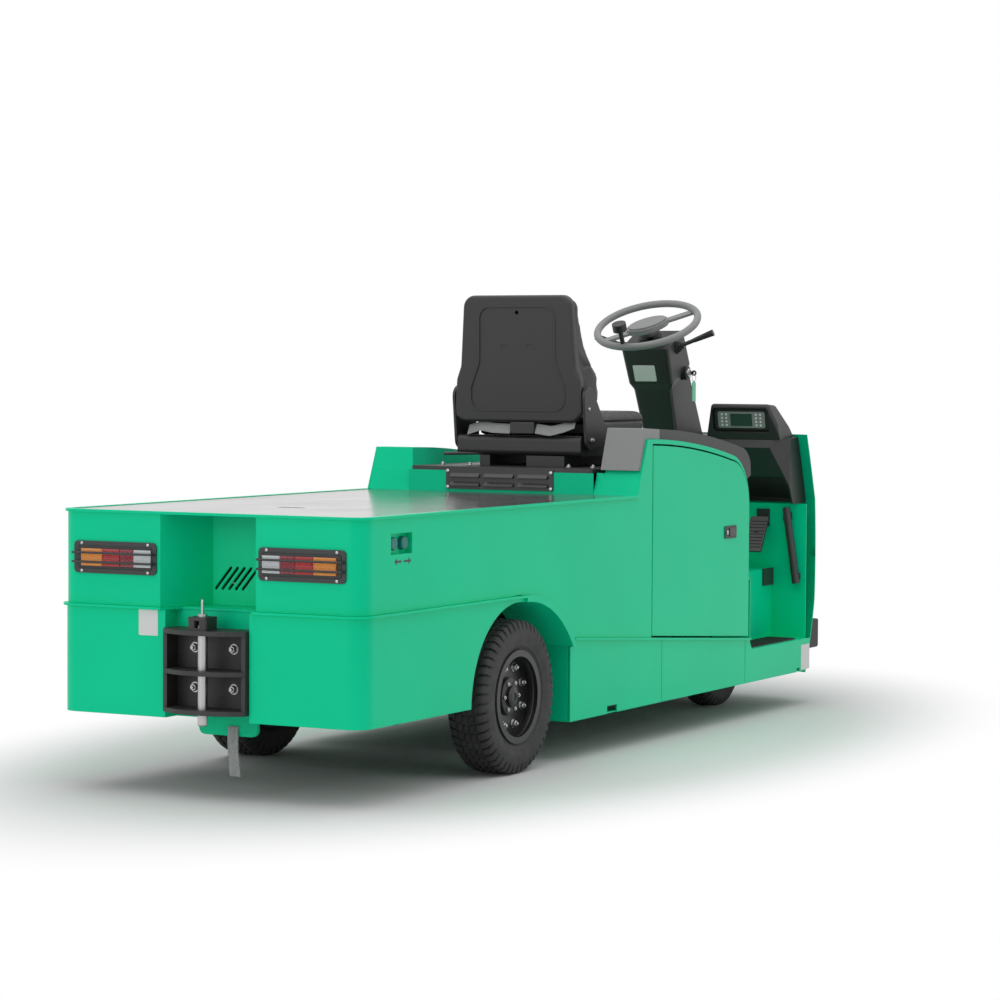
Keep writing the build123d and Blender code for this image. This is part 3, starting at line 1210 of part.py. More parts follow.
def make_hitch():
    half = HITCH_WIDTH / 2
    back = REAR + HITCH_NOTCH_DEPTH - SKIRT_OUT - SEAT_GAP
    pin_x = REAR - PIN_OUT
    with BuildPart() as casting:
        low = HITCH_LEVELS[0] - HITCH_PLATE / 2
        high = HITCH_LEVELS[-1] + HITCH_PLATE / 2
        block((back - HITCH_BACK, back), (-half, half), (low, high))
        for side in (-1, 1):
            block((REAR - 20, back), sorted((side * half, side * (half - 14))), (low, high))
        for level in HITCH_LEVELS:
            with BuildSketch(Plane.XY.offset(level - HITCH_PLATE / 2)):
                with BuildLine():
                    Polyline((REAR - 20, half), (back, half), (back, -half), (REAR - 20, -half))
                    ThreePointArc((REAR - 20, -half), (REAR - HITCH_REACH, 0), (REAR - 20, half))
                make_face()
            extrude(amount=HITCH_PLATE)
        with Locations((pin_x, 0, (low + high) / 2)):
            Cylinder(PIN_RADIUS + RUNNING_GAP, 400, mode=Mode.SUBTRACT)
        guide = GUIDE_SIZE / 2
        with BuildSketch(Plane.XY.offset(high)):
            with Locations((pin_x, 0)):
                RectangleRounded(GUIDE_SIZE, GUIDE_SIZE, 8)
                Circle(COLLAR_RADIUS + 3, mode=Mode.SUBTRACT)
        extrude(amount=GUIDE_HEIGHT)
        slot = (high + 8, high + GUIDE_HEIGHT - 10)
        block((pin_x - guide - 1, pin_x), (-9, 9), slot, Mode.SUBTRACT)
    finish(casting, "hitch_casting")
    with BuildPart() as pin:
        with Locations((pin_x, 0, (PIN_TOP + PIN_BOTTOM) / 2)):
            Cylinder(PIN_RADIUS, PIN_TOP - PIN_BOTTOM)
        chamfer(pin.faces().sort_by(Axis.Z)[0].edges(), 4)
        with Locations((pin_x, 0, high + SEAT_GAP + 7)):
            Cylinder(COLLAR_RADIUS, 14)
        turn = math.radians(LOOP_TURN)
        across = (math.cos(turn), math.sin(turn), 0)
        with BuildLine():
            foot = [(s * LOOP_RADIUS * across[0] + pin_x, s * LOOP_RADIUS * across[1]) for s in (-1, 1)]
            base = PIN_TOP - 20
            first = Line((*foot[0], base), (*foot[0], PIN_TOP + 34))
            crown = (pin_x, 0, PIN_TOP + 34 + LOOP_RADIUS)
            ThreePointArc((*foot[0], PIN_TOP + 34), crown, (*foot[1], PIN_TOP + 34))
            Line((*foot[1], PIN_TOP + 34), (*foot[1], base))
        with BuildSketch(Plane(origin=first @ 0, z_dir=(0, 0, 1))):
            Circle(LOOP_ROD)
        sweep()
    finish(pin, "hitch_pin")
    with BuildPart() as tow_plate:
        plate_x = RAIL_REAR - TOW_PLATE_THICK
        with BuildSketch(cross_plane(plate_x)):
            with Locations((0, (TOW_PLATE_BOTTOM + RAIL_BOTTOM + 40) / 2)):
                RectangleRounded(TOW_PLATE_WIDTH, RAIL_BOTTOM + 40 - TOW_PLATE_BOTTOM, 22)
        extrude(amount=TOW_PLATE_THICK - SEAT_GAP)
    finish(tow_plate, "tow_plate")
    with BuildPart() as strap:
        strap_x = plate_x - STRAP_THICK - SEAT_GAP
        across = (-STRAP_WIDTH / 2 - 20, STRAP_WIDTH / 2 - 20)
        block((strap_x, strap_x + STRAP_THICK), across, (STRAP_END, TOW_PLATE_BOTTOM + 30))
    finish(strap, "static_strap")


def make_pedals():
    wall = BULKHEAD - SEAT_GAP
    with BuildPart() as pedals:
        for y, x, z, pad in ((-348, -72, 655, (74, 150)), (-190, -88, 640, (90, 62))):
            tilt = Location((BULKHEAD + x, y, z), (0, -60, 0))
            with Locations(tilt):
                Box(pad[1], pad[0], 10)
                with GridLocations(14, 0, int(pad[1] // 14) - 1, 1):
                    Box(5, pad[0] - 12, 16)
            hanger = [
                (BULKHEAD + x - 4, z + 8),
                (BULKHEAD + x + 14, z + 18),
                (wall, z + 76),
                (wall, z + 50),
                (BULKHEAD + x + 8, z - 12),
            ]
            extrude(side_face(hanger, y + 8), amount=16)
            block((wall - 8, wall), (y - 26, y + 26), (z + 30, z + 96))
        across = (-HALF + STEP_DEPTH - 6, -HALF + STEP_DEPTH - SEAT_GAP)
        block((BULKHEAD - 98, wall), across, (FLOOR_HEIGHT - 62, FLOOR_HEIGHT + 4))
    finish(pedals, "pedals")


def make_grab_posts():
    """Inclined grab tube on each side of the cockpit, bracketed to the bulkhead."""
    wall = BULKHEAD - SEAT_GAP
    top = (BULKHEAD - 34, -HALF + 80, DASH_BOTTOM - 14)
    foot = (BULKHEAD - 17, -HALF + 43, FLOOR_HEIGHT - 53)
    way = tuple(b - a for a, b in zip(top, foot))
    length = math.dist(top, foot)
    with BuildPart() as posts:
        with BuildSketch(Plane(origin=top, z_dir=way)):
            Circle(GRAB_RADIUS)
        extrude(amount=length)
        block((top[0], wall), (top[1] - 12, top[1] + 12), (top[2] - 50, top[2] - 20))
        block((foot[0], wall), (foot[1] - 12, foot[1] + 12), (foot[2] + 14, foot[2] + 40))
        mirror(about=Plane.XZ)
    finish(posts, "grab_posts")


make_upper_shell()
make_rear_skirt()
make_wheel_housings()
make_fore_skirts()
make_pods()
make_side_doors()
make_deck()
make_riser()
make_console()
make_cockpit_tub()
make_chassis()
make_battery()
make_rear_axle()
make_front_axle()
make_knuckles()
make_wheels()
make_seat()
make_steering()
make_dash()
make_cowl()
make_tail_lamps()
make_hitch()
make_pedals()
make_grab_posts()
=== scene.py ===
"""Looks of the airport baggage tug: finishes, tyre tread, padding, lamps and small fittings.

Metres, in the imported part's frame: +X forward, +Y left, +Z up, floor at z = 0.
Stations along the body are measured from its rear face.
"""
import json
import math

import bmesh
import bpy
from mathutils import Matrix, Vector


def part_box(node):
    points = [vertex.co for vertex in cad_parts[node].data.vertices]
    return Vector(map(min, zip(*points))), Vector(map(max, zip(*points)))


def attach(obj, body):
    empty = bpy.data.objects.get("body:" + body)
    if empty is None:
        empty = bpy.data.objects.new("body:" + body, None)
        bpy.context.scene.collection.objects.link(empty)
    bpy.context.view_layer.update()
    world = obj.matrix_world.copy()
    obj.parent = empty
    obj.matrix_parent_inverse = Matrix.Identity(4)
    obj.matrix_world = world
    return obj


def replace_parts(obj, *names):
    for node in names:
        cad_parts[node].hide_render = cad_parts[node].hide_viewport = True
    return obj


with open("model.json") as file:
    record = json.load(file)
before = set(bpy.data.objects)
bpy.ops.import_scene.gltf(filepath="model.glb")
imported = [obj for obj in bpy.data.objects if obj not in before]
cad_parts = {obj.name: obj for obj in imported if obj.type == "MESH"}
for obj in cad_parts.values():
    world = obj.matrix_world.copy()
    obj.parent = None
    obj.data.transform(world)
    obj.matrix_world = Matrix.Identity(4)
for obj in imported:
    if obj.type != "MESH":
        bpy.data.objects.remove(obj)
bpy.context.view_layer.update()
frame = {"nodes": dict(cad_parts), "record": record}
NODES = frame["nodes"]
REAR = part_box("tail_guards")[1].x + 0.0003
SIDE = 0.536

AXIS_X = Vector((1, 0, 0))
AXIS_Y = Vector((0, 1, 0))
AXIS_Z = Vector((0, 0, 1))

WHEEL_TILT = math.radians(26)
WHEEL_HUB = Vector((REAR + 3.043, 0, 1.459))

SHARP_ANGLE = math.radians(38)
COVER_VOXEL = 0.006
COVER_PRESSURE = 4.0
COVER_STIFFNESS = 25
COVER_FRAMES = 20
BELT_WIDTH, BELT_THICK = 0.038, 0.0024
BELT_ACROSS = (0.45, 0, 0.9)
TAIL_LAMP_WIDTH = 0.300
LENS_PITCH = 0.0085

CAMERA_PLACE = (-9.481, -5.104, 1.311)
CAMERA_YAW, CAMERA_PITCH, CAMERA_ROLL = (math.radians(angle) for angle in (28.072, 2.533, 0.317))
FOCAL_PIXELS, PICTURE_PIXELS, SENSOR_MM = 3098.55, 1000.0, 36.0

FLOOR_SQUEEZE = (0.5, 1, 1)
FLOOR_FADE = (0.95, 1.60)
SKY_LEVEL = 0.34

PALETTE = {
    "green_paint": dict(
        color=(0.0, 0.73, 0.37), rough=0.34, spec=0.14, bump=0.03, grain=260, vary=0.05, edge=0.0022
    ),
    "deck_steel": dict(
        color=(0.14, 0.14, 0.14), rough=0.20, metal=0.45, coat=0.3, bump=0.04, grain=90, vary=0.06
    ),
    "frame_black": dict(color=(0.016, 0.016, 0.017), rough=0.55, bump=0.10, grain=120, vary=0.10),
    "black_paint": dict(color=(0.028, 0.028, 0.029), rough=0.38, bump=0.04, grain=200, vary=0.08, edge=0.001),
    "cast_black": dict(color=(0.022, 0.022, 0.023), rough=0.50, bump=0.45, grain=420, vary=0.10, edge=0.002),
    "rim_black": dict(color=(0.012, 0.012, 0.013), rough=0.36, bump=0.06, grain=160, vary=0.08, edge=0.0015),
    "bare_steel": dict(color=(0.46, 0.46, 0.46), rough=0.32, metal=1.0, bump=0.05, grain=500, vary=0.10),
    "black_plastic": dict(
        color=(0.018, 0.018, 0.019), rough=0.46, bump=0.22, grain=900, vary=0.05, edge=0.002
    ),
    "grey_plastic": dict(color=(0.26, 0.265, 0.265), rough=0.50, bump=0.18, grain=900, vary=0.05, edge=0.002),
    "battery_grey": dict(color=(0.05, 0.052, 0.056), rough=0.55, bump=0.10, grain=300, vary=0.05),
    "seat_vinyl": dict(color=(0.011, 0.011, 0.012), rough=0.48, bump=0.45, grain=620, vary=0.08),
    "bumper_rubber": dict(color=(0.016, 0.016, 0.017), rough=0.62, bump=0.20, grain=500, vary=0.08),
    "strap_rubber": dict(color=(0.17, 0.18, 0.18), rough=0.72, bump=0.15, grain=600, vary=0.08),
    "lamp_glass": dict(color=(0.66, 0.70, 0.72), rough=0.12, coat=0.6, bump=0.05, grain=60, vary=0.02),
    "lens_red": dict(color=(0.50, 0.010, 0.016), rough=0.16, coat=0.6, bump=0.10, grain=180, vary=0.02),
    "tyre": dict(color=(0.020, 0.020, 0.021), rough=0.74, bump=0.30, grain=380, vary=0.08),
    "teal_plastic": dict(color=(0.0, 0.17, 0.16), rough=0.40, bump=0.06, grain=300, vary=0.04),
    "lens_amber": dict(color=(0.86, 0.30, 0.030), rough=0.16, coat=0.6, bump=0.10, grain=180, vary=0.02),
    "lens_dark_red": dict(color=(0.30, 0.010, 0.030), rough=0.16, coat=0.6, bump=0.10, grain=180, vary=0.02),
    "plate_white": dict(color=(0.78, 0.79, 0.79), rough=0.42, bump=0.02, grain=120, vary=0.05),
    "mint_tag": dict(color=(0.03, 0.56, 0.26), rough=0.25, coat=0.5, bump=0.02, grain=80, vary=0.03),
    "dark_glass": dict(color=(0.040, 0.048, 0.050), rough=0.10, coat=0.8, bump=0.01, grain=40, vary=0.02),
    "webbing_grey": dict(color=(0.30, 0.31, 0.31), rough=0.72, bump=0.50, grain=800, vary=0.05),
    "pale_dot": dict(color=(0.75, 0.76, 0.76), rough=0.35, bump=0.02, grain=80, vary=0.02),
}


def material(name, color, rough, metal=0.0, coat=0.0, spec=0.5, bump=0.0, grain=200, vary=0.0, edge=0.0):
    """Procedural finish: fine grain in the surface and a little change in its gloss."""
    made = bpy.data.materials.new(name)
    made.use_nodes = True
    nodes, links = made.node_tree.nodes, made.node_tree.links
    shader = nodes["Principled BSDF"]
    shader.inputs["Base Color"].default_value = (*color, 1.0)
    shader.inputs["Roughness"].default_value = rough
    shader.inputs["Metallic"].default_value = metal
    shader.inputs["Specular IOR Level"].default_value = spec
    shader.inputs["Coat Weight"].default_value = coat
    shader.inputs["Coat Roughness"].default_value = 0.10
    place = nodes.new("ShaderNodeTexCoord")
    cloud = nodes.new("ShaderNodeTexNoise")
    cloud.inputs["Scale"].default_value = 3.5
    cloud.inputs["Detail"].default_value = 6
    spread = nodes.new("ShaderNodeMapRange")
    spread.inputs["To Min"].default_value = max(rough - vary, 0.02)
    spread.inputs["To Max"].default_value = rough + vary
    links.new(place.outputs["Object"], cloud.inputs["Vector"])
    links.new(cloud.outputs["Fac"], spread.inputs["Value"])
    links.new(spread.outputs["Result"], shader.inputs["Roughness"])
    fine = nodes.new("ShaderNodeTexNoise")
    fine.inputs["Scale"].default_value = grain
    fine.inputs["Detail"].default_value = 3
    lift = nodes.new("ShaderNodeBump")
    lift.inputs["Strength"].default_value = bump
    lift.inputs["Distance"].default_value = 0.0006
    links.new(place.outputs["Object"], fine.inputs["Vector"])
    links.new(fine.outputs["Fac"], lift.inputs["Height"])
    links.new(lift.outputs["Normal"], shader.inputs["Normal"])
    if edge:
        round_edge = nodes.new("ShaderNodeBevel")
        round_edge.samples = 4
        round_edge.inputs["Radius"].default_value = edge
        links.new(round_edge.outputs["Normal"], lift.inputs["Normal"])
    return made


def add_tint(name, low, high, scale):
    """Let a finish wander between two close colours over its surface."""
    tree = MAT[name].node_tree
    place = tree.nodes["Texture Coordinate"]
    cloud = tree.nodes.new("ShaderNodeTexNoise")
    cloud.inputs["Scale"].default_value = scale
    cloud.inputs["Detail"].default_value = 8
    ramp = tree.nodes.new("ShaderNodeValToRGB")
    ramp.color_ramp.elements[0].position = 0.35
    ramp.color_ramp.elements[0].color = (*low, 1)
    ramp.color_ramp.elements[1].position = 0.68
    ramp.color_ramp.elements[1].color = (*high, 1)
    tree.links.new(place.outputs["Object"], cloud.inputs["Vector"])
    tree.links.new(cloud.outputs["Fac"], ramp.inputs["Fac"])
    tree.links.new(ramp.outputs["Color"], tree.nodes["Principled BSDF"].inputs["Base Color"])


MAT = {name: material(name, **look) for name, look in PALETTE.items()}
add_tint("green_paint", (0.0, 0.70, 0.355), (0.0, 0.76, 0.385), 1.3)
add_tint("deck_steel", (0.11, 0.112, 0.114), (0.18, 0.18, 0.18), 5.0)
add_tint("tyre", (0.026, 0.026, 0.027), (0.046, 0.045, 0.044), 24.0)
add_tint("cast_black", (0.018, 0.018, 0.019), (0.032, 0.031, 0.031), 16.0)
add_tint("strap_rubber", (0.34, 0.35, 0.35), (0.48, 0.49, 0.49), 140.0)
slot_of = {entry["node"]: entry["material_slot"] for entry in frame["record"]["subparts"]}
for node, obj in NODES.items():
    obj.data.materials.clear()
    obj.data.materials.append(MAT[slot_of[node]])


def at(station, y, z):
    """Point from a station along the body, in metres from its rear face."""
    return Vector((REAR + station, y, z))


def dress(obj, look, body, smooth=True, bevel=0.0):
    """Give a new piece its finish and the body that it moves with."""
    mesh = obj.data
    turned = bmesh.new()
    turned.from_mesh(mesh)
    bmesh.ops.recalc_face_normals(turned, faces=turned.faces)
    turned.to_mesh(mesh)
    turned.free()
    mesh.materials.clear()
    mesh.materials.append(MAT[look])
    if smooth:
        mesh.shade_smooth()
        mesh.set_sharp_from_angle(angle=SHARP_ANGLE)
    if bevel:
        rounding = obj.modifiers.new("rounding", "BEVEL")
        rounding.width = bevel
        rounding.segments = 3
        rounding.limit_method = "ANGLE"
        rounding.harden_normals = False
    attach(obj, body)
    return obj


def piece(name, verts, faces, look, body, smooth=True, bevel=0.0):
    """New object from points and faces, with its finish and body."""
    mesh = bpy.data.meshes.new(name)
    mesh.from_pydata([tuple(v) for v in verts], [], faces)
    mesh.validate()
    obj = bpy.data.objects.new(name, mesh)
    bpy.context.scene.collection.objects.link(obj)
    return dress(obj, look, body, smooth, bevel)


def frame_of(axis, up=None):
    """Two directions square to an axis, the first as near to up as can be."""
    axis = Vector(axis).normalized()
    up = Vector(up) if up is not None else (AXIS_Z if abs(axis.z) < 0.9 else AXIS_X)
    first = (up - axis * up.dot(axis)).normalized()
    return first, axis.cross(first)


def lathe_mesh(profile, origin, axis, segments=48, closed=False):
    """Rings of (radius, along) points turned round an axis, capped flat unless closed on itself."""
    first, second = frame_of(axis)
    axis = Vector(axis).normalized()
    verts, faces = [], []
    for radius, along in profile:
        for i in range(segments):
            turn = 2 * math.pi * i / segments
            outward = math.cos(turn) * first + math.sin(turn) * second
            verts.append(Vector(origin) + axis * along + radius * outward)
    rows = len(profile)
    for row in range(rows if closed else rows - 1):
        a, b = row * segments, ((row + 1) % rows) * segments
        for i in range(segments):
            j = (i + 1) % segments
            faces.append((a + i, a + j, b + j, b + i))
    if not closed:
        faces.append(tuple(range(segments)))
        faces.append(tuple(reversed(range((rows - 1) * segments, rows * segments))))
    return verts, faces


def lathe(name, profile, origin, axis, look, body, segments=48, closed=False):
    """One turned piece."""
    verts, faces = lathe_mesh(profile, origin, axis, segments, closed=closed)
    return piece(name, verts, faces, look, body)


def slab_mesh(outline, origin, across, up, depth):
    """Flat outline of (across, up) points with a thickness along its normal."""
    across, up = Vector(across).normalized(), Vector(up).normalized()
    normal = across.cross(up)
    base = [Vector(origin) + across * a + up * b for a, b in outline]
    count = len(base)
    verts = base + [v + normal * depth for v in base]
    faces = [tuple(reversed(range(count))), tuple(range(count, 2 * count))]
    faces += [(i, (i + 1) % count, count + (i + 1) % count, count + i) for i in range(count)]
    return verts, faces


def slab(name, outline, origin, across, up, depth, look, body, bevel=0.0):
    """One flat piece."""
    verts, faces = slab_mesh(outline, origin, across, up, depth)
    return piece(name, verts, faces, look, body, bevel=bevel)


def round_rect(width, height, radius, steps=5):
    """Rectangle about the origin with round corners."""
    points = []
    for cx, cy, start in ((1, 1, 0), (-1, 1, 90), (-1, -1, 180), (1, -1, 270)):
        for i in range(steps + 1):
            turn = math.radians(start + 90 * i / steps)
            x = cx * (width / 2 - radius) + radius * math.cos(turn)
            y = cy * (height / 2 - radius) + radius * math.sin(turn)
            points.append((x, y))
    return points


def joined(name, parts, look, body):
    """One piece from several (verts, faces) shells."""
    verts, faces = [], []
    for some_verts, some_faces in parts:
        base = len(verts)
        verts += list(some_verts)
        faces += [tuple(base + i for i in face) for face in some_faces]
    return piece(name, verts, faces, look, body)


def hex_bolt(origin, axis, across_flats, head, washer=True):
    """Hexagon nut with a chamfered top and a stud end, on a washer if asked, as a list of shells."""
    radius = across_flats / math.sqrt(3)
    parts = []
    if washer:
        wide = radius * 1.35
        ring = [(wide * 0.97, 0), (wide, 0.0006), (wide, 0.0020), (wide * 0.97, 0.0026)]
        parts.append(lathe_mesh(ring, origin, axis, 24))
    low = 0.0022 if washer else 0.0
    top = low + head
    body = [(radius, low), (radius, top - head * 0.18), (radius * 0.86, top)]
    parts.append(lathe_mesh(body, origin, axis, 6))
    thread = radius * 0.48
    stud = [(thread, top - 0.001), (thread, top + head * 0.45), (radius * 0.40, top + head * 0.55)]
    parts.append(lathe_mesh(stud, origin, axis, 16))
    return parts


def pan_screw(origin, axis, radius):
    """Domed screw head with a round recess, as a list of one shell."""
    shape = ((1, 0), (1, 0.22), (0.86, 0.46), (0.5, 0.60), (0.34, 0.60), (0.30, 0.34))
    dome = [(radius * reach, radius * height) for reach, height in shape]
    return [lathe_mesh(dome, origin, axis, 20)]


def tyre_profile(radius, width, rim_radius):
    """Tyre section as (y, r, depth, zigzag) from one bead over the tread to the other."""
    half = width / 2
    bead = half - 0.014
    shoulder = radius - 0.012
    belly = (rim_radius + shoulder) / 2 + 0.006
    low = rim_radius + 0.006
    side = []
    for share in (0.0, 0.10, 0.16, 0.20, 0.36, 0.54, 0.66, 0.74):
        r = low + (shoulder - low) * share
        swell = 1 - ((r - belly) / (belly - low)) ** 2
        y = bead + (half - bead) * max(swell, 0)
        rib = 0.0016 if share in (0.16, 0.74) else 0.0
        side.append((y + rib - 0.0016, r, 0.0, 0.0))
    side += [
        (half - 0.0030, low + (shoulder - low) * 0.82, 0.30, 0.0),
        (half - 0.0052, low + (shoulder - low) * 0.91, 0.65, 0.0),
        (half - 0.0075, shoulder, 1.0, 0.0),
        (half - 0.0120, radius - 0.0045, 1.0, 0.0),
        (half - 0.0215, radius - 0.0008, 1.0, 0.0),
    ]
    edge = half - 0.0215
    lug_end = 0.50 * half
    rib_end = 0.20 * half
    outer_floor = radius - 0.0065
    inner_floor = radius - 0.0058
    tread = [
        ((edge + lug_end) / 2, radius, 1.0, 0.0),
        (lug_end + 0.001, radius, 1.0, 0.35),
        (lug_end - 0.0020, outer_floor, 0.0, 1.0),
        (lug_end - 0.0062, outer_floor, 0.0, 1.0),
        (lug_end - 0.0082, radius, 0.45, 1.0),
        (rib_end, radius, 0.45, 1.0),
        (rib_end - 0.0018, inner_floor, 0.0, 1.0),
        (rib_end - 0.0052, inner_floor, 0.0, 1.0),
        (rib_end - 0.0070, radius, 0.45, 1.0),
    ]
    right = side + tread
    left = [(-y, r, depth, zigzag) for y, r, depth, zigzag in reversed(right)]
    inner = [(-bead, rim_radius - 0.009, 0.0, 0.0), (bead, rim_radius - 0.009, 0.0, 0.0)]
    return right + left + inner


PITCH_SHARES = ((0.00, 0), (0.05, 1), (0.25, 1), (0.30, 0), (0.53, 0), (0.76, 0))


def treaded_tyre(node, body, radius, width, rim_radius, lugs, groove):
    """Tyre with shoulder lugs and zigzag ribs cut into its mesh, in place of the plain ring."""
    low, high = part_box(node)
    centre = (low + high) / 2
    profile = tyre_profile(radius, width, rim_radius)
    count = len(profile)
    normals = []
    for i in range(count):
        before, after = profile[i - 1], profile[(i + 1) % count]
        along = Vector((after[0] - before[0], after[1] - before[1]))
        normals.append(Vector((along.y, -along.x)).normalized())
    verts, faces = [], []
    rows = lugs * len(PITCH_SHARES)
    pitch = 2 * math.pi / lugs
    for row in range(rows):
        lug, step = divmod(row, len(PITCH_SHARES))
        share, cut = PITCH_SHARES[step]
        wave = 1 - 4 * abs(share - 0.5)
        for (y, r, depth, zigzag), normal in zip(profile, normals):
            spread = y / (width / 2) if r > radius - 0.05 else math.copysign(1, y)
            lean = 0.62 * abs(spread) + 0.25 * spread
            turn = (lug + share + lean) * pitch
            sink = groove * depth * cut
            y_cut = y - normal.x * sink + 0.0026 * zigzag * wave
            r_cut = r - abs(normal.y) * sink if r > rim_radius else r
            verts.append(centre + Vector((r_cut * math.sin(turn), y_cut, r_cut * math.cos(turn))))
    for row in range(rows):
        a, b = row * count, ((row + 1) % rows) * count
        for i in range(count):
            j = (i + 1) % count
            faces.append((a + i, a + j, b + j, b + i))
    tyre = piece(f"{node}_tread", verts, faces, "tyre", body)
    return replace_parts(tyre, node)


def wheel_fittings(end, name, body, radius_nuts, nuts, rim_radius, hub_radius, disc_out, hub_out):
    """Nuts, hub flange, cap and rounded rim lip on one wheel's outer side."""
    side = -1 if name == "right" else 1
    low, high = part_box(f"rim_{end}_{name}")
    centre = (low + high) / 2
    out = AXIS_Y * side
    lip_reach = (high.y - low.y) / 2
    face = centre + out * disc_out
    steel = []
    for i in range(nuts):
        turn = 2 * math.pi * (i + 0.5) / nuts
        spot = face + Vector((math.cos(turn), 0, math.sin(turn))) * radius_nuts
        steel += hex_bolt(spot, out, 0.019 if end == "rear" else 0.014, 0.011 if end == "rear" else 0.008)
    joined(f"nuts_{end}_{name}", steel, "bare_steel", body)
    hub = centre + out * hub_out
    cap = [
        (hub_radius * 0.97, 0.0),
        (hub_radius * 0.97, 0.0040),
        (hub_radius * 0.90, 0.0060),
        (hub_radius * 0.56, 0.0065),
        (hub_radius * 0.54, 0.0150),
        (hub_radius * 0.46, 0.0185),
        (hub_radius * 0.20, 0.0200),
        (hub_radius * 0.18, 0.0165),
    ]
    lathe(f"hub_cap_{end}_{name}", cap, hub, out, "rim_black", body, 40)
    small = []
    for i in range(6):
        turn = 2 * math.pi * i / 6
        spot = hub + out * 0.0062 + Vector((math.cos(turn), 0, math.sin(turn))) * hub_radius * 0.76
        small += hex_bolt(spot, out, hub_radius * 0.20, 0.005, washer=False)
    joined(f"hub_bolts_{end}_{name}", small, "bare_steel", body)
    lip_y = lip_reach - 0.0045
    lip = []
    for i in range(10):
        turn = 2 * math.pi * i / 10
        lip.append((rim_radius - 0.001 + 0.0058 * math.cos(turn), lip_y + 0.0042 * math.sin(turn)))
    lathe(f"rim_lip_{end}_{name}", lip, centre, out, "rim_black", body, 96, closed=True)
    step = [
        (rim_radius - 0.017, 0.004),
        (rim_radius - 0.019, lip_y - disc_out - 0.012),
        (rim_radius - 0.0165, lip_y - disc_out - 0.008),
        (rim_radius - 0.0165, 0.004),
    ]
    lathe(f"rim_step_{end}_{name}", step, centre + out * disc_out, out, "rim_black", body, 96, closed=True)


TYRES = {
    "rear": dict(radius=0.247, width=0.146, rim_radius=0.146, lugs=50, groove=0.0085),
    "front": dict(radius=0.2075, width=0.110, rim_radius=0.116, lugs=44, groove=0.0065),
}
FITTINGS = {
    "rear": dict(
        radius_nuts=0.098, nuts=8, rim_radius=0.146, hub_radius=0.062, disc_out=0.0225, hub_out=0.0300
    ),
    "front": dict(
        radius_nuts=0.074, nuts=5, rim_radius=0.116, hub_radius=0.042, disc_out=0.0105, hub_out=0.0090
    ),
}


def add_wheels():
    for name in ("right", "left"):
        for end, sizes in TYRES.items():
            treaded_tyre(f"tyre_{end}_{name}", f"wheel_{end}_{name}", **sizes)
        for end, sizes in FITTINGS.items():
            wheel_fittings(end, name, f"wheel_{end}_{name}", **sizes)


def baked(obj):
    """Apply an object's modifiers to its mesh."""
    graph = bpy.context.evaluated_depsgraph_get()
    mesh = bpy.data.meshes.new_from_object(obj.evaluated_get(graph))
    obj.modifiers.clear()
    obj.data = mesh
    return obj


def puffed(node, name, inset, cap):
    """Padded cover swollen by cloth pressure from a slightly smaller copy of a solid."""
    mesh = NODES[node].data.copy()
    obj = bpy.data.objects.new(name, mesh)
    bpy.context.scene.collection.objects.link(obj)
    remesh = obj.modifiers.new("remesh", "REMESH")
    remesh.mode = "VOXEL"
    remesh.voxel_size = COVER_VOXEL
    baked(obj)
    soften = obj.modifiers.new("soften", "SMOOTH")
    soften.iterations = 6
    soften.factor = 0.5
    baked(obj)
    normals = [vertex.normal.copy() for vertex in obj.data.vertices]
    start = [vertex.co - normal * inset for vertex, normal in zip(obj.data.vertices, normals)]
    for vertex, rest in zip(obj.data.vertices, start):
        vertex.co = rest
    cloth = obj.modifiers.new("cloth", "CLOTH")
    cloth.settings.use_pressure = True
    cloth.settings.uniform_pressure_force = COVER_PRESSURE
    cloth.settings.effector_weights.gravity = 0
    cloth.settings.quality = 5
    cloth.settings.tension_stiffness = COVER_STIFFNESS
    cloth.settings.compression_stiffness = COVER_STIFFNESS
    for step in range(1, COVER_FRAMES + 1):
        bpy.context.scene.frame_set(step)
    baked(obj)
    bpy.context.scene.frame_set(1)
    for vertex, rest in zip(obj.data.vertices, start):
        moved = vertex.co - rest
        if moved.length > cap:
            vertex.co = rest + moved.normalized() * cap
    fine = obj.modifiers.new("fine", "SUBSURF")
    fine.levels = fine.render_levels = 1
    return baked(obj)


def press_line(obj, distance, depth, reach, facing):
    """Sew a line into a cover: vertices near it sink along their normals."""
    normals = [vertex.normal.copy() for vertex in obj.data.vertices]
    for vertex, normal in zip(obj.data.vertices, normals):
        if facing(normal):
            away = abs(distance(vertex.co))
            if away < reach:
                vertex.co -= normal * depth * (1 - (away / reach) ** 2) ** 2


def rect_distance(a, b, half_a, half_b, radius):
    """Signed distance from a round-cornered rectangle about the origin."""
    da, db = abs(a) - (half_a - radius), abs(b) - (half_b - radius)
    outside = math.hypot(max(da, 0), max(db, 0))
    return outside + min(max(da, db), 0) - radius


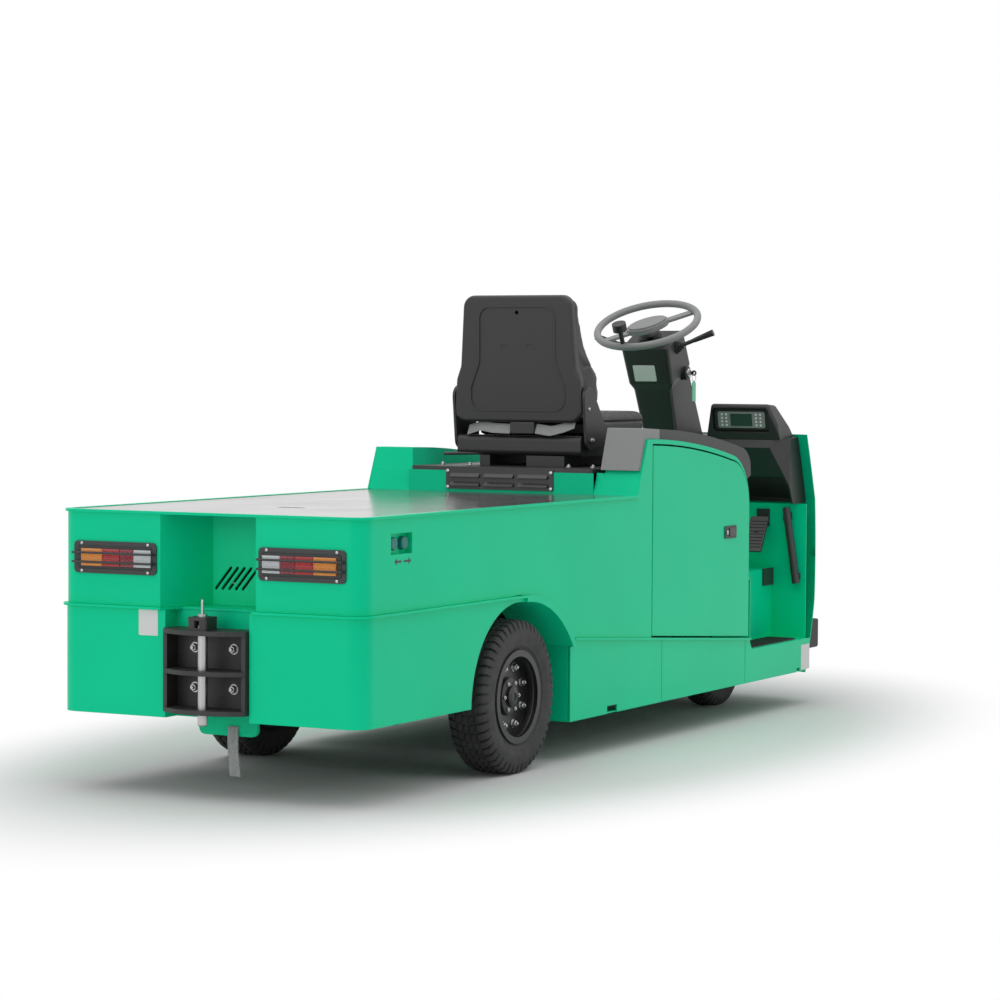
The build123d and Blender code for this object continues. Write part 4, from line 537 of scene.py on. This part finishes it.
def add_seat_pads():
    """Cushion and back covers with a sewn panel, its channels and a welt."""
    cushion = puffed("seat_cushion", "cushion_cover", 0.006, 0.010)
    low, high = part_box("seat_cushion")
    middle = (low + high) / 2
    half_x, half_y = (high.x - low.x) / 2, (high.y - low.y) / 2

    def on_panel(co):
        return rect_distance(co.x - middle.x, co.y - middle.y, half_x - 0.075, half_y - 0.085, 0.05)

    def on_channels(co):
        if on_panel(co) > 0:
            return 1.0
        span = 0.064
        return abs((co.x - middle.x + span / 2) % span - span / 2)

    press_line(cushion, on_panel, 0.0060, 0.011, lambda n: n.z > 0.4)
    press_line(cushion, on_channels, 0.0035, 0.008, lambda n: n.z > 0.5)
    welt = low.z + 0.052
    press_line(cushion, lambda co: co.z - welt, 0.0040, 0.007, lambda n: abs(n.z) < 0.7)
    back = puffed("seat_back_pad", "back_cover", 0.005, 0.009)
    low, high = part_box("seat_back_pad")
    centre = (low + high) / 2
    half_y, half_z = (high.y - low.y) / 2, (high.z - low.z) / 2

    def on_back_panel(co):
        return rect_distance(co.y, co.z - centre.z, half_y - 0.085, half_z - 0.060, 0.05)

    def on_back_channels(co):
        if on_back_panel(co) > 0:
            return 1.0
        span = 0.066
        return abs((co.z - centre.z + span / 2) % span - span / 2)

    press_line(back, on_back_panel, 0.0060, 0.011, lambda n: n.x > 0.3)
    press_line(back, on_back_channels, 0.0035, 0.008, lambda n: n.x > 0.4)
    seam = low.x + 0.030
    press_line(back, lambda co: co.x - seam, 0.0040, 0.007, lambda n: abs(n.x) < 0.6)
    for obj, node in ((cushion, "seat_cushion"), (back, "seat_back_pad")):
        dress(obj, "seat_vinyl", "seat")
        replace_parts(obj, node)


def ribbon(name, points, width, thick, across, look, body):
    """Flat webbing along given points, its width along one direction."""
    across = Vector(across).normalized()
    verts, faces = [], []
    for i, point in enumerate(points):
        before, after = points[max(i - 1, 0)], points[min(i + 1, len(points) - 1)]
        along = (Vector(after) - Vector(before)).normalized()
        normal = along.cross(across).normalized()
        for side, face in ((-1, -1), (1, -1), (1, 1), (-1, 1)):
            verts.append(Vector(point) + across * side * width / 2 + normal * face * thick / 2)
    for i in range(len(points) - 1):
        a, b = 4 * i, 4 * (i + 1)
        faces += [(a + j, a + (j + 1) % 4, b + (j + 1) % 4, b + j) for j in range(4)]
    faces += [(3, 2, 1, 0), tuple(range(4 * len(points) - 4, 4 * len(points)))]
    return piece(name, verts, faces, look, body)


def add_seat_fittings():
    """Lap belt behind the seat, its buckle, the hinge bolts and the slide lever."""
    belts = {
        "left": (
            (1.992, 0.205, 1.072), (1.988, 0.150, 1.088), (1.984, 0.100, 1.080), (1.984, 0.030, 1.078)
        ),
        "right": (
            (1.984, -0.070, 1.080), (1.982, -0.130, 1.072), (1.984, -0.180, 1.084), (1.992, -0.222, 1.100)
        ),
    }
    for name, spots in belts.items():
        points = [at(*spot) for spot in spots]
        ribbon(f"belt_{name}", points, BELT_WIDTH, BELT_THICK, BELT_ACROSS, "webbing_grey", "seat")
    buckle = at(1.990, -0.020, 1.082)
    shape = round_rect(0.096, 0.042, 0.006)
    slab("belt_buckle", shape, buckle, -AXIS_Y, AXIS_Z, 0.018, "black_plastic", "seat", 0.003)
    bolts = []
    for y in (-0.264, 0.264):
        out = AXIS_Y * (1 if y > 0 else -1)
        bolts += hex_bolt(at(2.037, y, 1.040), out, 0.013, 0.006)
        bolts += pan_screw(at(2.015, y, 1.150), out, 0.007)
    joined("seat_pivot_bolts", bolts, "bare_steel", "seat")
    rail_bolts = []
    for y in (-0.300, -0.205, 0.190, 0.300):
        rail_bolts += hex_bolt(at(1.975, y, 0.9462), AXIS_Z, 0.013, 0.006)
    joined("seat_lid_bolts", rail_bolts, "bare_steel", "seat")
    lever = [at(1.998, 0.150, 0.990), at(1.990, 0.235, 0.988), at(1.985, 0.300, 0.986)]
    rod("seat_lever", lever, 0.006, "black_paint", "seat")


def rod(name, points, radius, look, body, segments=16):
    """Bent round bar through given points."""
    verts, faces = [], []
    for i, point in enumerate(points):
        before, after = points[max(i - 1, 0)], points[min(i + 1, len(points) - 1)]
        along = (Vector(after) - Vector(before)).normalized()
        first, second = frame_of(along, AXIS_Z if abs(along.z) < 0.9 else AXIS_X)
        for j in range(segments):
            turn = 2 * math.pi * j / segments
            verts.append(Vector(point) + radius * (math.cos(turn) * first + math.sin(turn) * second))
    for i in range(len(points) - 1):
        a, b = segments * i, segments * (i + 1)
        faces += [(a + j, a + (j + 1) % segments, b + (j + 1) % segments, b + j) for j in range(segments)]
    faces += [tuple(reversed(range(segments)))]
    faces += [tuple(range(segments * (len(points) - 1), segments * len(points)))]
    return piece(name, verts, faces, look, body)


def facet_cell(name, y_span, z_span, look, pitch, lines):
    """Lamp cell: a closed lens whose outer face is moulded in prisms or slanting flutes."""
    columns = max(2 * round((y_span[1] - y_span[0]) / pitch), 4)
    rows = max(2 * round((z_span[1] - z_span[0]) / pitch), 4)
    verts, faces = [], []
    for i in range(columns + 1):
        for j in range(rows + 1):
            y = y_span[0] + (y_span[1] - y_span[0]) * i / columns
            z = z_span[0] + (z_span[1] - z_span[0]) * j / rows
            rim = i in (0, columns) or j in (0, rows)
            peak = (i + j) % 4 < 2 if lines else i % 2 and j % 2
            verts.append(at(-0.0112 - (0.0 if rim else 0.0022 if peak else 0.0002), y, z))
    for i in range(columns):
        for j in range(rows):
            a = i * (rows + 1) + j
            faces.append((a, a + 1, a + rows + 2, a + rows + 1))
    corner = len(verts)
    verts += [
        at(-0.0005, y_span[0], z_span[0]),
        at(-0.0005, y_span[0], z_span[1]),
        at(-0.0005, y_span[1], z_span[1]),
        at(-0.0005, y_span[1], z_span[0]),
    ]
    edges = (
        list(range(rows + 1)),
        [i * (rows + 1) + rows for i in range(columns + 1)],
        [columns * (rows + 1) + j for j in range(rows, -1, -1)],
        [i * (rows + 1) for i in range(columns, -1, -1)],
    )
    for i, edge in enumerate(edges):
        faces.append((*edge, corner + (i + 1) % 4, corner + i))
    faces.append(tuple(range(corner, corner + 4)))
    return piece(name, verts, faces, look, "vehicle", smooth=False)


CELLS = (
    ("amber", 0.10, 0.355, "lens_amber", False),
    ("red", 0.362, 0.570, "lens_red", False),
    ("dark_red", 0.577, 0.735, "lens_dark_red", True),
    ("clear", 0.742, 0.945, "lamp_glass", False),
)


def add_tail_lamps():
    """Four-colour rear lamps: amber outside, two reds, clear inside, in a black tray."""
    low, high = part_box("tail_lamps")
    outer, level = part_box("tail_guards")[1].y, (low.z + high.z) / 2
    width = TAIL_LAMP_WIDTH
    shape = round_rect(0.270, 0.068, 0.008)
    pieces = []
    for side, name in ((1, "left"), (-1, "right")):
        for label, start, stop, look, lines in CELLS:
            span = sorted((side * (outer - start * width), side * (outer - stop * width)))
            pieces.append(facet_cell(f"lens_{label}_{name}", span, (low.z, high.z), look, LENS_PITCH, lines))
        tray = at(-0.0002, side * (outer - width / 2), level)
        slab(f"lamp_tray_{name}", shape, tray, -AXIS_Y, AXIS_Z, 0.006, "black_plastic", "vehicle")
        screws = []
        for y_off in (-0.121, 0.121):
            for z_off in (-0.042, 0.042):
                spot = at(-0.0053, side * (outer - width / 2) + y_off, level + z_off)
                screws += pan_screw(spot, -AXIS_X, 0.0052)
        joined(f"lamp_screws_{name}", screws, "bare_steel", "vehicle")
    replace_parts(pieces[0], "tail_lamps")


def add_hitch_fittings():
    """Four bolts in the hitch casting and the woven strap under it."""
    bolts = []
    for y in (-0.069, 0.069):
        for z in (0.333, 0.453):
            bolts += hex_bolt(at(0.0405, y, z), -AXIS_X, 0.021, 0.013)
    joined("hitch_bolts", bolts, "bare_steel", "vehicle")
    low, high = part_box("static_strap")
    middle = (low + high) / 2
    verts, faces = [], []
    rows, columns = 28, 10
    for thick in (-1, 1):
        for i in range(rows + 1):
            share = i / rows
            z = high.z + (low.z - high.z) * share
            drift = 0.004 * share
            swing = -0.0045 * math.sin(1.4 * math.pi * share)
            fray = 0.0010 * math.sin(9 * share) * share
            for j in range(columns + 1):
                spread = (j / columns - 0.5) * ((high.y - low.y) - 0.004 + fray)
                ripple = 0.0007 * math.cos(math.pi * j)
                ragged = 0.0015 * math.sin(2.7 * j) if i == rows else 0.0
                x = middle.x + swing + thick * (0.0019 + ripple)
                verts.append(Vector((x, middle.y + spread - drift, max(z + ragged, low.z - 0.003))))
    layer = (rows + 1) * (columns + 1)
    for thick in (0, 1):
        for i in range(rows):
            for j in range(columns):
                a = thick * layer + i * (columns + 1) + j
                faces.append((a, a + 1, a + columns + 2, a + columns + 1))
    rim = list(range(columns + 1))
    rim += [i * (columns + 1) + columns for i in range(1, rows + 1)]
    rim += [rows * (columns + 1) + j for j in range(columns - 1, -1, -1)]
    rim += [i * (columns + 1) for i in range(rows - 1, 0, -1)]
    faces += [(a, b, layer + b, layer + a) for a, b in zip(rim, rim[1:] + rim[:1])]
    strap = piece("strap_woven", verts, faces, "strap_rubber", "vehicle")
    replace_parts(strap, "static_strap")


def steer_spot(along, up, y=0.0):
    """Point by its distance down the steering axis and its offset forward of it."""
    x = WHEEL_HUB.x + along * math.sin(WHEEL_TILT) + up * math.cos(WHEEL_TILT)
    z = WHEEL_HUB.z - along * math.cos(WHEEL_TILT) + up * math.sin(WHEEL_TILT)
    return Vector((x, y, z))


def add_column_fittings():
    """Blank data plate, and the key switch with its key, ring and tag."""
    top, foot = steer_spot(0.070, -0.067), steer_spot(0.215, -0.075)
    down = (foot - top).normalized()
    out = down.cross(AXIS_Y).normalized()
    if out.x > 0:
        out = -out
    spot = top + down * 0.100 + out * 0.0004 + AXIS_Y * 0.014
    plate = round_rect(0.092, 0.066, 0.004)
    slab("data_plate", plate, spot, -AXIS_Y, -down, 0.0012, "plate_white", "vehicle")
    key = steer_spot(0.229, 0.052, -0.1062)
    barrel = [(0.0175, -0.002), (0.0175, 0.004), (0.0160, 0.0065), (0.0120, 0.0070), (0.0110, 0.0045)]
    lathe("key_switch", barrel, key, -AXIS_Y, "bare_steel", "vehicle", 40)
    blade = key - AXIS_Y * 0.003
    section = round_rect(0.014, 0.0022, 0.001)
    slab("key_blade", section, blade, AXIS_Z, AXIS_X, -0.020, "bare_steel", "vehicle")
    bow = key - AXIS_Y * 0.024
    disc = [(0.0040, -0.0011), (0.0110, -0.0011), (0.0110, 0.0011), (0.0040, 0.0011)]
    lathe("key_bow", disc, bow, AXIS_X, "bare_steel", "vehicle", 28, True)
    ring = []
    for i in range(12):
        turn = 2 * math.pi * i / 12
        ring.append((0.0125 + 0.0012 * math.cos(turn), 0.0012 * math.sin(turn)))
    lathe("key_ring", ring, bow - AXIS_Z * 0.018, Vector((0.2, 1, 0)), "bare_steel", "vehicle", 36, True)
    tag = [(-0.016, -0.080), (0.016, -0.080), (0.016, -0.010), (0.005, 0.0), (-0.005, 0.0), (-0.016, -0.010)]
    hung = bow - AXIS_Z * 0.029 + AXIS_Y * 0.0015
    slab("key_tag", tag, hung, AXIS_X, AXIS_Z, 0.0030, "mint_tag", "vehicle", 0.0008)


def split_finish(node, look_of):
    """Give each facet of a solid the finish that its middle calls for."""
    obj = NODES[node]
    looks = []
    for polygon in obj.data.polygons:
        look = look_of(polygon.center)
        if look not in looks:
            looks.append(look)
            if len(looks) > 1:
                obj.data.materials.append(MAT[look])
        polygon.material_index = looks.index(look)
    obj.data.materials[0] = MAT[looks[0]]


def add_wheel_finish():
    """Grey rim, spokes and horn pad, black knob and hub."""
    axis = Vector((-math.sin(WHEEL_TILT), 0, math.cos(WHEEL_TILT)))

    def look_of(co):
        away = co - WHEEL_HUB
        height = away.dot(axis)
        reach = (away - axis * height).length
        if height < -0.022 or (height > 0.020 and reach > 0.120):
            return "black_plastic"
        return "grey_plastic"

    split_finish("steering_wheel", look_of)
    turns = [2 * math.pi * i / 48 for i in range(48)]
    pad = [(0.073 * math.cos(t), 0.042 * math.sin(t)) for t in turns]
    forward = Vector((math.cos(WHEEL_TILT), 0, math.sin(WHEEL_TILT)))
    slant = math.radians(45)
    across = (-AXIS_Y * math.cos(slant) + forward * math.sin(slant)).normalized()
    up = axis.cross(across)
    slab("horn_pad", pad, WHEEL_HUB + axis * 0.0062, across, up, 0.0035, "grey_plastic", "helm", 0.0016)


def add_display():
    """Instrument panel in the hood: dark frame, grey face, dark glass and pale keys."""
    facing = Vector((-1, 0, -0.2)).normalized()
    centre = at(3.211, -0.316, 1.095) - facing * 0.0235
    across = -AXIS_Y
    up = facing.cross(across).normalized()
    rim = round_rect(0.230, 0.086, 0.014)
    slab("display_frame", rim, centre, across, up, 0.008, "black_plastic", "vehicle", 0.003)
    face = centre + facing * 0.0081
    panel = round_rect(0.196, 0.064, 0.008)
    slab("display_panel", panel, face, across, up, 0.003, "grey_plastic", "vehicle", 0.001)
    glass = face + facing * 0.0031
    slab("display_glass", round_rect(0.090, 0.048, 0.003), glass, across, up, 0.001, "dark_glass", "vehicle")
    dots = []
    for a in (-0.080, -0.062, 0.062, 0.080):
        for b in (-0.021, -0.007, 0.007, 0.021):
            spot = glass + across * a + up * b
            dots.append(lathe_mesh([(0.0045, 0), (0.0045, 0.0012), (0.0032, 0.0020)], spot, facing, 16))
    joined("display_keys", dots, "pale_dot", "vehicle")


def arrow(name, station, way):
    """Plain direction arrow stuck on the side sheet."""
    half = [(-0.021, -0.0030), (0.006, -0.0030), (0.006, -0.0100), (0.021, 0.0)]
    shape = half + [(a, -b) for a, b in reversed(half[:-1])]
    points = shape if way > 0 else [(-a, b) for a, b in reversed(shape)]
    slab(name, points, at(station, -SIDE - 0.0001, 0.722), AXIS_X, AXIS_Z, 0.0006, "black_paint", "vehicle")


def add_body_fittings():
    """Arrows, blank sign plates, door latches, panel screws and step treads."""
    arrow("arrow_back", 0.205, -1)
    arrow("arrow_forward", 0.262, 1)
    signs = (
        ("rear", round_rect(0.069, 0.078, 0.003), at(-0.0031, 0.2105, 0.524), -AXIS_Y),
        ("front", round_rect(0.083, 0.096, 0.003), at(3.3455, -0.5391, 0.186), AXIS_X),
    )
    for name, sheet, corner, across in signs:
        slab(f"sign_plate_{name}", sheet, corner, across, AXIS_Z, 0.0008, "plate_white", "vehicle")
    for side, name in ((-1, "right"), (1, "left")):
        centre = at(2.628, side * (SIDE + 0.0001), 0.700)
        across = AXIS_X * (1 if side < 0 else -1)
        door = f"door_{name}"
        out = AXIS_Y * side
        plate = round_rect(0.104, 0.046, 0.005)
        slab(f"latch_plate_{name}", plate, centre, across, AXIS_Z, 0.0035, "black_plastic", door, 0.001)
        paddle = round_rect(0.060, 0.030, 0.004)
        spot = centre + out * 0.0036 + AXIS_X * 0.016
        slab(f"latch_paddle_{name}", paddle, spot, across, AXIS_Z, 0.003, "black_paint", door, 0.0012)
        lock = [(0.0085, 0), (0.0085, 0.0030), (0.0070, 0.0040), (0.0030, 0.0040), (0.0025, 0.0015)]
        lathe(f"latch_lock_{name}", lock, centre + out * 0.0036 - AXIS_X * 0.034, out, "bare_steel", door, 28)
    low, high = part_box("louvre_plate")
    level = (low.z + high.z) / 2
    screws = []
    for y in (-0.204, 0.204):
        for z in (level - 0.028, level + 0.028):
            screws += pan_screw(at(1.8398, y, z), -AXIS_X, 0.0068)
    joined("panel_screws", screws, "bare_steel", "vehicle")
    for side, name in ((-1, "right"), (1, "left")):
        mat = at(3.085, side * 0.462, 0.2562)
        parts = [slab_mesh(round_rect(0.430, 0.118, 0.008), mat, AXIS_X, AXIS_Y, 0.003)]
        for i in range(18):
            rib = at(2.885 + i * 0.0235, side * 0.462, 0.2592)
            parts.append(slab_mesh(round_rect(0.010, 0.110, 0.003, 3), rib, AXIS_X, AXIS_Y, 0.003))
        joined(f"step_tread_{name}", parts, "bumper_rubber", "vehicle")


def add_headlamps():
    """Clear ribbed lenses in bright bezels on the nose."""
    low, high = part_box("headlamps")
    radius = (high.z - low.z) / 2
    for side, name in ((-1, "right"), (1, "left")):
        centre = Vector((high.x, side * 0.320, (low.z + high.z) / 2))
        lens = [(radius * 0.90, -0.006), (radius * 0.90, -0.0022)]
        rings = 9
        for i in range(rings):
            share = 1 - (i + 0.5) / rings
            lens.append((radius * 0.88 * share, -0.0022 + 0.0018 * (1 - share) + (0.0006 if i % 2 else 0.0)))
        lathe(f"headlamp_lens_{name}", lens, centre, AXIS_X, "lamp_glass", "vehicle", 64)
        bezel = []
        for i in range(12):
            turn = 2 * math.pi * i / 12
            bezel.append((radius * 0.93 + 0.0045 * math.cos(turn), -0.0045 + 0.0042 * math.sin(turn)))
        lathe(f"headlamp_bezel_{name}", bezel, centre, AXIS_X, "bare_steel", "vehicle", 64, True)


def add_camera():
    """Camera at the photograph's viewpoint: yaw left of +X, pitch down, slight roll."""
    yaw, pitch, roll = CAMERA_YAW, CAMERA_PITCH, CAMERA_ROLL
    forward = Vector((math.cos(yaw) * math.cos(pitch), math.sin(yaw) * math.cos(pitch), -math.sin(pitch)))
    right = Vector((math.sin(yaw), -math.cos(yaw), 0))
    up = right.cross(forward)
    right_rolled = math.cos(roll) * right + math.sin(roll) * up
    up_rolled = -math.sin(roll) * right + math.cos(roll) * up
    data = bpy.data.cameras.new("camera")
    data.sensor_width = SENSOR_MM
    data.lens = FOCAL_PIXELS * SENSOR_MM / PICTURE_PIXELS
    data.clip_end = 100
    camera = bpy.data.objects.new("camera", data)
    turn = Matrix((right_rolled, up_rolled, -forward)).transposed()
    camera.matrix_world = Matrix.Translation(CAMERA_PLACE) @ turn.to_4x4()
    bpy.context.scene.collection.objects.link(camera)
    bpy.context.scene.camera = camera


def add_light(name, place, target, size, power):
    """Rectangular area lamp aimed at a point."""
    data = bpy.data.lights.new(name, "AREA")
    data.shape = "RECTANGLE"
    data.size, data.size_y = size
    data.energy = power
    lamp = bpy.data.objects.new(name, data)
    aim = (Vector(target) - Vector(place)).to_track_quat("-Z", "Y")
    lamp.matrix_world = Matrix.Translation(place) @ aim.to_matrix().to_4x4()
    bpy.context.scene.collection.objects.link(lamp)


def backdrop_rays(tree):
    """1 for camera, glossy and transmission rays, 0 for the rays that light the object."""
    path = tree.nodes.new("ShaderNodeLightPath")
    value = path.outputs["Is Camera Ray"]
    for kind in ("Is Glossy Ray", "Is Transmission Ray"):
        either = tree.nodes.new("ShaderNodeMath")
        either.operation = "MAXIMUM"
        tree.links.new(value, either.inputs[0])
        tree.links.new(path.outputs[kind], either.inputs[1])
        value = either.outputs["Value"]
    return value


def add_floor():
    """Pale floor that keeps the shadow near the object and turns plain white far from it."""
    bpy.ops.mesh.primitive_plane_add(size=120, location=(0, 0, 0))
    floor = bpy.context.object
    floor.name = "studio_floor"
    pale = bpy.data.materials.new("studio_floor")
    pale.use_nodes = True
    tree = pale.node_tree
    shader = tree.nodes["Principled BSDF"]
    shader.inputs["Base Color"].default_value = (0.88, 0.88, 0.88, 1)
    shader.inputs["Roughness"].default_value = 0.9
    shader.inputs["Specular IOR Level"].default_value = 0.1
    white = tree.nodes.new("ShaderNodeEmission")
    place = tree.nodes.new("ShaderNodeTexCoord")
    reach = tree.nodes.new("ShaderNodeVectorMath")
    reach.operation = "LENGTH"
    fade = tree.nodes.new("ShaderNodeMapRange")
    fade.inputs["From Min"].default_value, fade.inputs["From Max"].default_value = FLOOR_FADE
    fade.interpolation_type = "SMOOTHSTEP"
    squeeze = tree.nodes.new("ShaderNodeVectorMath")
    squeeze.operation = "MULTIPLY"
    squeeze.inputs[1].default_value = FLOOR_SQUEEZE
    seen = tree.nodes.new("ShaderNodeMath")
    seen.operation = "MULTIPLY"
    mix = tree.nodes.new("ShaderNodeMixShader")
    tree.links.new(place.outputs["Object"], squeeze.inputs[0])
    tree.links.new(squeeze.outputs["Vector"], reach.inputs[0])
    tree.links.new(reach.outputs["Value"], fade.inputs["Value"])
    tree.links.new(fade.outputs["Result"], seen.inputs[0])
    tree.links.new(backdrop_rays(tree), seen.inputs[1])
    tree.links.new(seen.outputs["Value"], mix.inputs["Fac"])
    tree.links.new(shader.outputs["BSDF"], mix.inputs[1])
    tree.links.new(white.outputs["Emission"], mix.inputs[2])
    tree.links.new(mix.outputs["Shader"], tree.nodes["Material Output"].inputs["Surface"])
    floor.data.materials.append(pale)


def add_world(level):
    """Soft even sky for light, plain white where it is seen."""
    world = bpy.data.worlds.new("studio")
    world.use_nodes = True
    tree = world.node_tree
    sky = tree.nodes["Background"]
    sky.inputs["Color"].default_value = (1, 1, 1, 1)
    sky.inputs["Strength"].default_value = level
    white = tree.nodes.new("ShaderNodeBackground")
    white.inputs["Color"].default_value = (1, 1, 1, 1)
    white.inputs["Strength"].default_value = 1.0
    mix = tree.nodes.new("ShaderNodeMixShader")
    tree.links.new(backdrop_rays(tree), mix.inputs["Fac"])
    tree.links.new(sky.outputs["Background"], mix.inputs[1])
    tree.links.new(white.outputs["Background"], mix.inputs[2])
    tree.links.new(mix.outputs["Shader"], tree.nodes["World Output"].inputs["Surface"])
    bpy.context.scene.world = world


def add_studio():
    """Floor, sky and three soft lamps."""
    add_floor()
    add_world(SKY_LEVEL)
    add_light("overhead", (-0.6, -0.4, 5.0), (0, 0, 0), (8.0, 8.0), 185)
    add_light("rear_box", (-7.0, 1.6, 2.4), (-1.7, 0, 0.6), (4.0, 3.0), 62)
    add_light("side_box", (0.5, -6.5, 2.6), (0.5, 0, 0.7), (5.0, 2.5), 30)
    bpy.context.scene.view_settings.view_transform = "Standard"


add_camera()
add_wheels()
add_seat_pads()
add_seat_fittings()
add_tail_lamps()
add_hitch_fittings()
add_column_fittings()
add_wheel_finish()
add_display()
add_body_fittings()
add_headlamps()
add_studio()
